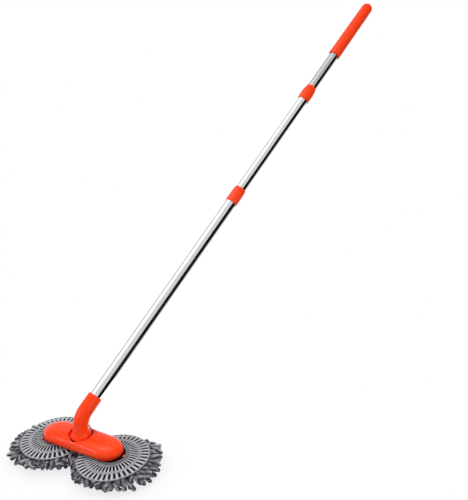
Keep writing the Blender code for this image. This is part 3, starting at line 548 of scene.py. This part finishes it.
def plate_spot(row, column):
    """The place of a grid vertex: the columns at 0.5 follow the edges of a slot."""
    radius = ROWS[row]
    half = max(slot_half(radius, INNER_SLOTS), slot_half(radius, OUTER_SLOTS))
    edge = PITCH / 2 - (half if half else 0.0012) / radius
    share = COLUMNS[column]
    turn = math.copysign(PITCH / 2, share) if abs(share) == 1 else edge * share * 2
    rise = 0.0
    for start, end, _ in (INNER_SLOTS, OUTER_SLOTS):
        rise = max(rise, min(min(radius - start, end + 0.0006 - radius) / 0.0016, 1))
    crown = RIB_CROWN * rise * (1 - min(abs(turn) / edge, 1) ** 2)
    lobe = 0.0006 * max((radius - 0.0690) / 0.0028, 0) * math.cos(turn * RIB_COUNT)
    drop = 0.0010 * max((radius - 0.0704) / 0.0014, 0) ** 2
    out = radius + lobe
    return Vector((out * math.cos(turn), out * math.sin(turn), disc_height(radius) + crown - drop))


for side, word in ((-1, "left"), (1, "right")):
    work = bmesh.new()
    rows, columns = len(ROWS), len(COLUMNS)
    bmesh.ops.create_grid(work, x_segments=columns - 1, y_segments=rows - 1, size=0.5)
    slots = []
    for face in work.faces:
        middle = face.calc_center_median()
        row = (middle.y + 0.5) * (rows - 1)
        column = (middle.x + 0.5) * (columns - 1)
        radius = (ROWS[int(row)] + ROWS[int(row) + 1]) / 2
        in_slots = any(start < radius < end for start, end, _ in (INNER_SLOTS, OUTER_SLOTS))
        if in_slots and not 1 < column < columns - 2:
            slots.append(face)
    for vert in work.verts:
        row = round((vert.co.y + 0.5) * (rows - 1))
        column = round((vert.co.x + 0.5) * (columns - 1))
        vert.co = plate_spot(row, column)
    bmesh.ops.delete(work, geom=slots, context="FACES")
    bmesh.ops.spin(
        work,
        geom=work.verts[:] + work.edges[:] + work.faces[:],
        cent=(0, 0, 0),
        axis=(0, 0, 1),
        angle=2 * math.pi * (RIB_COUNT - 1) / RIB_COUNT,
        steps=RIB_COUNT - 1,
        use_duplicate=True,
    )
    bmesh.ops.remove_doubles(work, verts=work.verts, dist=0.00003)
    bmesh.ops.recalc_face_normals(work, faces=work.faces)
    bmesh.ops.translate(work, vec=(side * DISC_X, 0, 0), verts=work.verts)
    grey = finish(f"disc_grey_{word}", {"Specular IOR Level": 0.5})
    flat = grey.shift("SUBTRACT", (side * DISC_X, 0, 0)).shift("MULTIPLY", (1, 1, 0))
    reach = flat.shift("LENGTH", (0, 0, 0), 1)
    cloud = grey.noise(90.0, 3.0).step(0.3, 0.7)
    paint = cloud.blend((0.205, 0.215, 0.235, 1), (0.245, 0.257, 0.277, 1))
    east = grey.node("ShaderNodeSeparateXYZ", {}, {0: flat}, 0)
    north = grey.node("ShaderNodeSeparateXYZ", {}, {0: flat}, 1)
    # Painted highlight: the crowns of the ribs in both slot rings are painted lighter, in place of the gloss that
    # they would catch.
    crest = grey.sum_of("COSINE", grey.sum_of("ARCTAN2", north, east) * RIB_COUNT, 0.0).step(0.25, 0.85)
    painted_highlight_rings = reach.step(0.0338, 0.0352) * reach.step(0.0497, 0.0486)
    painted_highlight_rings = painted_highlight_rings + reach.step(0.0530, 0.0544) * reach.step(0.0700, 0.0688)
    paint = (crest * painted_highlight_rings).blend(paint, (0.440, 0.455, 0.485, 1))
    paint = reach.step(0.0322, 0.0336).blend((0.105, 0.117, 0.128, 1), paint)
    paint.into("Base Color")
    grain = grey.noise(1800.0, 2.0)
    (grain * 0.14 + 0.27).into("Roughness")
    grain.bump(0.00003).into("Normal")
    plate = piece(f"slotted_disc_{word}", work, grey, f"disc_{word}", [f"pad_plate_{word}"])
    wall = plate.modifiers.new("wall", "SOLIDIFY")
    wall.thickness = DISC_WALL
    wall.offset = -1


# Chenille pads. A round of fabric under each disc, sewn full of fat, twisted microfibre
# noodles. They splay past the rim on the outer side, and hang and curl under the rest.
BACKING_OUTLINE = [
    (0.0339, -0.0071),
    (0.0660, -0.0107),
    (0.0680, -0.0115),
    (0.0680, -0.0122),
    (0.0660, -0.0130),
    (0.0339, -0.0130),
]
NOODLE_SIDES = 8
NOODLE_STEPS = 14
# Tiers of noodles: how many stand round the disc, the radius and height of their feet, and
# how far out and down they go, as shares of the way to the edge of the skirt.
TIERS = (
    (37, 0.0650, -0.0132, 1.00, 0.36),
    (37, 0.0620, -0.0138, 1.00, 0.74),
    (34, 0.0570, -0.0138, 1.00, 1.00),
    (28, 0.0480, -0.0130, 0.40, 1.00),
    (22, 0.0370, -0.0130, 0.15, 1.00),
    (14, 0.0260, -0.0130, 0.05, 1.00),
    (8, 0.0150, -0.0130, 0.00, 1.00),
    (3, 0.0055, -0.0130, 0.00, 1.00),
)
# The edge of each skirt: a heading in degrees, and the radius and height of the tips there.
SKIRTS = {
    "left": (
        (-180, 0.0880, -0.0210),
        (-165, 0.0905, -0.0230),
        (-150, 0.0950, -0.0250),
        (-138, 0.1000, -0.0290),
        (-127, 0.0990, -0.0310),
        (-117, 0.0910, -0.0340),
        (-105, 0.0790, -0.0365),
        (-85, 0.0720, -0.0370),
        (-61, 0.0670, -0.0370),
        (-45, 0.0780, -0.0370),
        (-25, 0.0800, -0.0350),
        (0, 0.0760, -0.0330),
        (45, 0.0620, -0.0340),
        (100, 0.0580, -0.0340),
        (150, 0.0600, -0.0300),
        (168, 0.0780, -0.0220),
        (180, 0.0880, -0.0210),
    ),
    "right": (
        (-180, 0.0850, -0.0300),
        (-145, 0.0850, -0.0340),
        (-125, 0.0780, -0.0360),
        (-108, 0.0700, -0.0365),
        (-95, 0.0660, -0.0370),
        (-70, 0.0640, -0.0370),
        (-50, 0.0670, -0.0370),
        (-34, 0.0780, -0.0370),
        (-20, 0.0890, -0.0370),
        (-5, 0.0960, -0.0370),
        (12, 0.0920, -0.0350),
        (38, 0.0950, -0.0290),
        (54, 0.0970, -0.0250),
        (70, 0.0820, -0.0210),
        (88, 0.0640, -0.0260),
        (120, 0.0590, -0.0320),
        (150, 0.0740, -0.0330),
        (180, 0.0850, -0.0300),
    ),
}
DEEPEST_TIP = -0.0370
# Tips that pass the rim stay lower than this, so that they go under the other disc too.
RIM_PASS = 0.0720
HIGHEST_TIP = -0.0178


def skirt_edge(word, heading):
    """How far out and how low the tips of a pad are at one heading."""
    turn = (math.degrees(heading) + 180) % 360 - 180
    table = SKIRTS[word]
    for (start, reach, low), (end, next_reach, next_low) in zip(table, table[1:]):
        if turn <= end:
            break
    share = (turn - start) / (end - start)
    return reach + (next_reach - reach) * share, low + (next_low - low) * share


template = bmesh.new()
tone = template.verts.layers.float.new("tone")
along = template.verts.layers.float.new("along")
crest = template.verts.layers.float.new("crest")
bmesh.ops.create_uvsphere(template, u_segments=NOODLE_SIDES, v_segments=NOODLE_STEPS, radius=1)
skin = []
for vert in template.verts:
    share = math.acos(min(max(-vert.co.z, -1), 1)) / math.pi
    share = 0.5 - 0.5 * math.cos(math.pi * share) * (1 - 0.35 * math.sin(math.pi * share))
    skin.append((vert, share, math.atan2(vert.co.y, vert.co.x)))
scrap = bpy.data.meshes.new("one_noodle")


def noodle(work, path, radius, splay, dice):
    """One noodle: a closed capsule along a curling path, twisted like a short rope."""
    phase = dice.uniform(0, 6)
    shade = dice.random()
    lobes = dice.uniform(0.13, 0.22) * (1 - 0.35 * splay)
    twist = dice.uniform(6, 11) * dice.choice((-1, 1))
    curl = dice.uniform(0.0010, 0.0034) * (1 - 0.80 * splay)
    waves = dice.uniform(4.0, 8.0)
    lean = dice.uniform(0, 6)
    slim = 0.04 + 0.14 * splay
    foot, bend, tip = path
    for vert, share, turn in skin:
        spot = foot * (1 - share) ** 2 + bend * 2 * share * (1 - share) + tip * share**2
        ahead = ((bend - foot) * (1 - share) + (tip - bend) * share).normalized()
        beside = ahead.cross(Vector((0, 0, 1))).normalized()
        above = beside.cross(ahead)
        swing = curl * min(share * 2.5, 1)
        spot = spot + beside * (swing * math.sin(waves * share + lean))
        spot = spot + above * (swing * math.cos(waves * share + lean * 1.7))
        girth = math.sqrt(max(1 - abs(2 * share - 1) ** 8, 0)) * (1.02 - slim * share)
        wave = math.sin(2 * turn + twist * share + phase)
        ripple = 1 + lobes * wave + 0.06 * math.sin(12 * share + phase * 2)
        wide = radius * girth * ripple
        vert.co = spot + beside * (wide * math.cos(turn)) + above * (wide * math.sin(turn))
        vert.co.z = max(vert.co.z, FLOOR_HEIGHT + 0.0001)
        vert[tone] = shade
        vert[along] = share
        vert[crest] = 0.5 + 0.5 * wave
    template.to_mesh(scrap)
    work.from_mesh(scrap)


for side, word in ((-1, "left"), (1, "right")):
    dice = random.Random(11 if side < 0 else 31)
    work = bmesh.new()
    for layer in ("tone", "along", "crest"):
        work.verts.layers.float.new(layer)
    for count, foot, level, out_share, down_share in TIERS:
        for number in range(count):
            heading = (number + 0.5 + dice.uniform(-0.30, 0.30)) * 2 * math.pi / count
            edge, low = skirt_edge(word, heading)
            splay = min(max((edge - 0.0720) / 0.0160, 0), 1)
            if out_share < 0.5:
                low = DEEPEST_TIP
            hang = (1 - splay) * out_share * max(-math.sin(heading), 0)
            reach = foot + (edge - foot) * out_share + 0.0120 * hang * (1 - down_share)
            reach += dice.uniform(-0.0060, 0.0015)
            height = level + (low - level) * down_share + dice.uniform(-0.0030, 0.0040)
            if reach > RIM_PASS:
                height = min(height, HIGHEST_TIP)
            height = max(height, DEEPEST_TIP)
            sway = dice.uniform(-0.0070, 0.0070) / max(reach, 0.02)
            spread = foot + (reach - foot) * (0.90 - 0.40 * splay) + 0.0060 * hang
            drop = level + (height - level) * (0.12 + 0.28 * splay + dice.uniform(-0.05, 0.12))
            path = [
                Vector((out * math.cos(turn), out * math.sin(turn), up))
                for out, up, turn in (
                    (foot, level, heading),
                    (spread, drop, heading + sway * 0.3),
                    (reach, height, heading + sway),
                )
            ]
            noodle(work, path, dice.uniform(0.0045, 0.0053), splay, dice)
    spun(work, BACKING_OUTLINE, 96)
    bmesh.ops.translate(work, vec=(side * DISC_X, 0, 0), verts=work.verts)
    chenille = finish(f"chenille_{word}", {"Specular IOR Level": 0.1, "Sheen Weight": 0.25, "Sheen Roughness": 0.4})
    shade = chenille.node("ShaderNodeAttribute", {"attribute_name": "tone"}, {}, "Fac")
    share = chenille.node("ShaderNodeAttribute", {"attribute_name": "along"}, {}, "Fac")
    crest_for_painted_shade = chenille.node("ShaderNodeAttribute", {"attribute_name": "crest"}, {}, "Fac")
    pile = chenille.noise(420.0, 3.0)
    tuft = chenille.noise(1300.0, 2.0)
    colour = (shade * 0.5 + pile * 0.8).step(0.30, 1.0).blend((0.170, 0.155, 0.185, 1), (0.460, 0.432, 0.490, 1))
    # Painted shade: the grooves between the twisted lobes are painted nearly black.
    colour = crest_for_painted_shade.step(0.0, 0.95).blend((0.024, 0.021, 0.027, 1), colour)
    # Painted shade: each noodle is painted nearly black at its root under the disc. So is the backing, whose
    # vertices keep an along of 0.
    colour = share.step(0.05, 0.46).blend((0.010, 0.009, 0.011, 1), colour)
    colour.into("Base Color")
    (pile * 0.1 + 0.85).into("Roughness")
    (pile * 0.6 + tuft * 0.4).bump(0.0014).into("Normal")
    pad = piece(f"chenille_{word}", work, chenille, f"disc_{word}", [f"chenille_pad_{word}"])
template.free()
bpy.data.meshes.remove(scrap)


# Tubes. Three tubes of polished stainless steel, drawn and slit in length. The lower and
# the middle one end in a mouth that is rolled out to a bead for the clamping sleeve.
TUBE_SIDES = 96
TUBE_WALL = 0.0005
rim_out, rim_up, _ = neck_axis(NECK_LENGTH)
on_pole = (
    Matrix.Rotation(-POLE_TURN, 4, "Z")
    @ Matrix.Translation((0, rim_out, PIN_HEIGHT + rim_up))
    @ Matrix.Rotation(POLE_RISE - math.pi / 2, 4, "X")
)
POLE_ALONG = on_pole.to_3x3() @ Vector((0, 0, 1))
POLE_ACROSS = on_pole.to_3x3() @ Vector((1, 0, 0))
POLE_ASIDE = on_pole.to_3x3() @ Vector((0, 1, 0))


def on_pole_axes(place, across, along):
    """Object coordinates turned to the pole and stretched along it."""
    parts = {
        0: place.shift("DOT_PRODUCT", POLE_ACROSS * across, 1),
        1: place.shift("DOT_PRODUCT", POLE_ASIDE * across, 1),
        2: place.shift("DOT_PRODUCT", POLE_ALONG * along, 1),
    }
    return place.node("ShaderNodeCombineXYZ", {}, parts)


def polished_steel(name, tone):
    """Polished tube: fine lines along it and faint hazy patches, paler or duller by its tone."""
    place = finish(name, {"Metallic": 1.0})
    lines = on_pole_axes(place, 2600.0, 9.0).noise(1.0, 2.0)
    haze = place.noise(28.0, 3.0).step(0.35, 0.75)
    dull = (0.80 * tone, 0.805 * tone, 0.815 * tone, 1)
    bright = (0.90 * tone, 0.90 * tone, 0.905 * tone, 1)
    (lines * 0.5 + haze * 0.5).blend(dull, bright).into("Base Color")
    (haze * 0.035 + lines * 0.05 + 0.045).into("Roughness")
    lines.bump(0.000004).into("Normal")
    return place


def tube_outline(radius, low, high, flared):
    """The wall of a tube, with a rolled mouth at its upper end if asked."""
    bore = radius - TUBE_WALL
    if not flared:
        return [(radius, low), (radius, high), (bore, high), (bore, low)]
    return [
        (radius, low),
        (radius, high - 0.0060),
        (radius + 0.0003, high - 0.0056),
        (radius + 0.0006, high - 0.0048),
        (radius + 0.0006, high - 0.0006),
        (radius + 0.0004, high - 0.0001),
        (radius + 0.0002, high),
        (bore + 0.0006, high),
        (bore + 0.0006, high - 0.0048),
        (bore, high - 0.0056),
        (bore, low),
    ]


TUBES = (
    ("lower", 0.0125, -0.0297, 0.4867, True, 1.0, "lower_section"),
    ("middle", 0.0114, 0.2982, 0.7832, True, 1.0, "middle_section"),
    ("upper", 0.0105, 0.5759, 1.0759, False, 0.68, "handle"),
)
for word, radius, low, high, flared, tone, body in TUBES:
    work = bmesh.new()
    spun(work, tube_outline(radius, low, high, flared), TUBE_SIDES)
    bmesh.ops.transform(work, matrix=on_pole, verts=work.verts)
    steel = polished_steel(f"steel_{word}", tone)
    piece(f"steel_tube_{word}", work, steel, body, [f"tube_{word}"])


# Bushes and clamping sleeves. Black nylon mouldings inside the pole: a bush on the inner
# end of each sliding tube, and a split sleeve in each rolled mouth. The CAD shapes stay.
nylon = matt_plastic("black_nylon", (0.012, 0.012, 0.013, 1), (0.022, 0.022, 0.024, 1), 0.42)
coat(["guide_plug_middle", "guide_plug_upper", "lock_ferrule_lower", "lock_ferrule_upper"], nylon)


# Twist collars. Orange nuts that close the sleeves on the inner tube as they turn. The
# lower one is moulded with eight flats, and the upper one is a smooth barrel.
COLLAR_SIDES = 128
FLAT_REACH = 0.0129
LOWER_LOW, LOWER_HIGH = 0.4870, 0.5255
UPPER_LOW, UPPER_HIGH = 0.7835, 0.8220
LOWER_OUTLINE = [
    (0.0128, LOWER_LOW),
    (0.0134, LOWER_LOW + 0.0009),
    (0.0134, LOWER_LOW + 0.0120),
    (0.0134, LOWER_LOW + 0.0240),
    (0.0130, LOWER_HIGH - 0.0070),
    (0.0126, LOWER_HIGH - 0.0030),
    (0.0123, LOWER_HIGH - 0.0006),
    (0.0120, LOWER_HIGH),
    (0.0117, LOWER_HIGH),
    (0.0117, LOWER_HIGH - 0.0050),
    (0.0125, LOWER_HIGH - 0.0100),
    (0.0125, LOWER_LOW),
]
UPPER_OUTLINE = [
    (0.0127, UPPER_LOW),
    (0.0131, UPPER_LOW + 0.0005),
    (0.0131, UPPER_LOW + 0.0038),
    (0.0134, UPPER_LOW + 0.0080),
    (0.0136, UPPER_LOW + 0.0120),
    (0.0136, UPPER_LOW + 0.0190),
    (0.0134, UPPER_LOW + 0.0235),
    (0.0130, UPPER_LOW + 0.0280),
    (0.0125, UPPER_LOW + 0.0322),
    (0.0120, UPPER_LOW + 0.0356),
    (0.0116, UPPER_LOW + 0.0376),
    (0.0112, UPPER_HIGH),
    (0.0108, UPPER_HIGH),
    (0.0108, UPPER_HIGH - 0.0050),
    (0.0120, UPPER_HIGH - 0.0100),
    (0.0120, UPPER_LOW),
]
COLLARS = (
    ("lower", LOWER_OUTLINE, FLAT_REACH, "lock_lower"),
    ("upper", UPPER_OUTLINE, 1.0, "lock_upper"),
)
for word, outline, flat, body in COLLARS:
    work = bmesh.new()
    spun(work, outline, COLLAR_SIDES)
    for vert in work.verts:
        heading = math.atan2(vert.co.y, vert.co.x)
        radius = math.hypot(vert.co.x, vert.co.y)
        off_flat = (heading % (math.pi / 4)) - math.pi / 8
        held = min(radius, flat / math.cos(off_flat))
        vert.co.x = held * math.cos(heading)
        vert.co.y = held * math.sin(heading)
    bmesh.ops.transform(work, matrix=on_pole, verts=work.verts)
    orange = moulded_orange(f"collar_orange_{word}", 0.30)
    (orange.noise(900.0, 2.0) * 0.08).bump(0.00022).into("Normal")
    piece(f"twist_collar_{word}", work, orange, body, [f"lock_collar_{word}"])


# Grip. A smooth orange sleeve pushed on to the upper tube, a little thicker at its foot,
# with a round closed end for the palm.
GRIP_LOW = 0.9222
GRIP_HIGH = 1.0862
GRIP_FOOT = 0.0133
GRIP_END = 0.0125
outline = [(0.0108, GRIP_HIGH - 0.0100), (0.0108, GRIP_LOW), (GRIP_FOOT - 0.0008, GRIP_LOW)]
outline += [(GRIP_FOOT - 0.0002, GRIP_LOW + 0.0003), (GRIP_FOOT, GRIP_LOW + 0.0010)]
for turn in range(0, 90, 9):
    lean = math.radians(turn)
    height = GRIP_HIGH - GRIP_END + GRIP_END * math.sin(lean)
    outline.append((GRIP_END * math.cos(lean), height))
outline += [(0.0, GRIP_HIGH), (0.0, GRIP_HIGH - 0.0100)]
work = bmesh.new()
spun(work, outline, TUBE_SIDES)
bmesh.ops.transform(work, matrix=on_pole, verts=work.verts)
orange = moulded_orange("grip_orange", 0.36)
(orange.noise(1300.0, 3.0) * 0.14).bump(0.00022).into("Normal")
piece("hand_grip", work, orange, "handle", ["grip"])


# Studio. A white floor that keeps the shadow of the brush, a white room, soft lamps, and
# strips beside the pole that only its gloss sees, as a photographer's cards stand there.
# The grip is what stays in place when the pole is drawn out, and the head then comes down
# past the floor. So to the camera the floor is clear, and tinted only by the shadow that
# gathers where the brush is near.
SHADOW_REACH = 0.05
SHADOW_LEVEL = 0.76


def stage_piece(name, work, material):
    """A thing of the studio, which isn't part of the brush."""
    mesh = bpy.data.meshes.new(name)
    work.to_mesh(mesh)
    work.free()
    mesh.materials.append(material)
    made = bpy.data.objects.new(name, mesh)
    bpy.context.scene.collection.objects.link(made)
    return made


white = bpy.data.materials.new("studio_white")
white.use_nodes = True
tree = white.node_tree
paint = tree.nodes["Principled BSDF"]
paint.inputs["Base Color"].default_value = (0.80, 0.80, 0.80, 1)
paint.inputs["Roughness"].default_value = 1.0
paint.inputs["Specular IOR Level"].default_value = 0.0
bounce = tree.nodes.new("ShaderNodeBsdfDiffuse")
bounce.inputs["Color"].default_value = (0.42, 0.42, 0.42, 1)
glow = tree.nodes.new("ShaderNodeEmission")
glow.inputs["Strength"].default_value = 0.66
both = tree.nodes.new("ShaderNodeAddShader")
tree.links.new(paint.outputs[0], both.inputs[0])
tree.links.new(glow.outputs[0], both.inputs[1])
clear = tree.nodes.new("ShaderNodeBsdfTransparent")
tinted = tree.nodes.new("ShaderNodeBsdfTransparent")
light_path = tree.nodes.new("ShaderNodeLightPath")
nearness = tree.nodes.new("ShaderNodeAmbientOcclusion")
nearness.samples = 16
nearness.inputs["Distance"].default_value = SHADOW_REACH
shade = tree.nodes.new("ShaderNodeMapRange")
shade.inputs["To Min"].default_value = SHADOW_LEVEL
tree.links.new(nearness.outputs["AO"], shade.inputs["Value"])
tree.links.new(shade.outputs[0], tinted.inputs["Color"])


def floor_mix(factor, first, second):
    """One shader where the factor is 0, the other where it is 1."""
    mix = tree.nodes.new("ShaderNodeMixShader")
    tree.links.new(factor, mix.inputs[0])
    tree.links.new(first, mix.inputs[1])
    tree.links.new(second, mix.inputs[2])
    return mix.outputs[0]


chosen = floor_mix(light_path.outputs["Is Glossy Ray"], bounce.outputs[0], both.outputs[0])
chosen = floor_mix(light_path.outputs["Is Camera Ray"], chosen, tinted.outputs[0])
chosen = floor_mix(light_path.outputs["Is Shadow Ray"], chosen, clear.outputs[0])
tree.links.new(chosen, tree.nodes["Material Output"].inputs["Surface"])
work = bmesh.new()
bmesh.ops.create_circle(work, segments=64, radius=25, cap_ends=True)
bmesh.ops.translate(work, vec=(0, 0, FLOOR_HEIGHT), verts=work.verts)
stage_piece("floor", work, white)

world = bpy.data.worlds.new("room")
bpy.context.scene.world = world
world.use_nodes = True
tree = world.node_tree
room = tree.nodes["Background"]
room.inputs["Color"].default_value = (1, 1, 1, 1)
light_path = tree.nodes.new("ShaderNodeLightPath")
level = tree.nodes.new("ShaderNodeMapRange")
level.inputs["To Min"].default_value = 0.46
level.inputs["To Max"].default_value = 1.0
tree.links.new(light_path.outputs["Is Camera Ray"], level.inputs["Value"])
tree.links.new(level.outputs[0], room.inputs["Strength"])

CAMERA_PLACE = Vector((1.00578, -0.86684, 0.88350))
CAMERA_BACK = Vector((0.527659, -0.764388, 0.370523))
CAMERA_ROLL = math.radians(-6.187)
CAMERA_FOCUS = 775.26

# Strips beside the pole: the angles round it from the camera, the radius, and the level.
STRIPS = (
    (-180, -124, 1.20),
    (-124, -90, 0.62),
    (-90, -32, 1.20),
    (-32, 6, 0.74),
    (6, 32, 0.74),
    (32, 98, 0.004),
    (98, 130, 0.44),
    (130, 180, 1.20),
)
pole_foot = on_pole @ Vector((0, 0, 0))
towards = CAMERA_PLACE - pole_foot
towards = (towards - POLE_ALONG * towards.dot(POLE_ALONG)).normalized()
rightwards = POLE_ALONG.cross(towards)
for number, (start, end, level) in enumerate(STRIPS):
    work = bmesh.new()
    reach = 0.20
    for turn in range(start, end + 1, 2):
        lean = math.radians(turn)
        spot = pole_foot + (towards * math.cos(lean) + rightwards * math.sin(lean)) * reach
        work.verts.new(spot - POLE_ALONG * 0.15)
    work.verts.ensure_lookup_table()
    edges = [work.edges.new(pair) for pair in zip(work.verts[:-1], work.verts[1:])]
    swept = bmesh.ops.extrude_edge_only(work, edges=edges)["geom"]
    swept = [part for part in swept if isinstance(part, bmesh.types.BMVert)]
    bmesh.ops.translate(work, vec=POLE_ALONG * 1.6, verts=swept)
    card = bpy.data.materials.new(f"card_{number}")
    card.use_nodes = True
    card.node_tree.nodes.remove(card.node_tree.nodes["Principled BSDF"])
    glow = card.node_tree.nodes.new("ShaderNodeEmission")
    glow.inputs["Strength"].default_value = level
    card.node_tree.links.new(glow.outputs[0], card.node_tree.nodes["Material Output"].inputs["Surface"])
    strip = stage_piece(f"card_{number}", work, card)
    strip.visible_camera = False
    strip.visible_diffuse = False
    strip.visible_shadow = False
    strip.visible_transmission = False


def soft_lamp(name, place, target, size, power):
    """A large square lamp that looks at a point."""
    lamp = bpy.data.lights.new(name, "AREA")
    lamp.size = size
    lamp.energy = power
    made = bpy.data.objects.new(name, lamp)
    made.location = place
    made.rotation_euler = (Vector(place) - Vector(target)).to_track_quat("Z", "Y").to_euler()
    bpy.context.scene.collection.objects.link(made)


soft_lamp("lamp_over", (-0.4, 0.1, 2.0), (0, 0.1, 0), 1.3, 24.0)
soft_lamp("lamp_left", (-1.25, -1.55, 1.05), (0, 0.1, 0.1), 0.9, 15.0)
soft_lamp("lamp_right", (1.9, 0.1, 1.0), (0, 0.1, 0.1), 1.2, 6.0)
beside_pole = pole_foot + POLE_ALONG * 0.3
soft_lamp("lamp_beside", beside_pole + rightwards * 1.0 + towards * 1.3, beside_pole, 0.9, 8.0)

camera = bpy.data.cameras.new("camera")
camera.sensor_width = 36.0
camera.lens = 36.0 * CAMERA_FOCUS / 500
camera.clip_start = 0.05
camera.clip_end = 100.0
viewer = bpy.data.objects.new("camera", camera)
level_right = Vector((0, 0, 1)).cross(CAMERA_BACK).normalized()
level_up = CAMERA_BACK.cross(level_right)
camera_right = level_right * math.cos(CAMERA_ROLL) + level_up * math.sin(CAMERA_ROLL)
camera_up = level_up * math.cos(CAMERA_ROLL) - level_right * math.sin(CAMERA_ROLL)
turned = Matrix((camera_right, camera_up, CAMERA_BACK)).transposed().to_4x4()
viewer.matrix_world = Matrix.Translation(CAMERA_PLACE) @ turned
bpy.context.scene.collection.objects.link(viewer)
bpy.context.scene.camera = viewer
bpy.context.scene.view_settings.view_transform = "Standard"
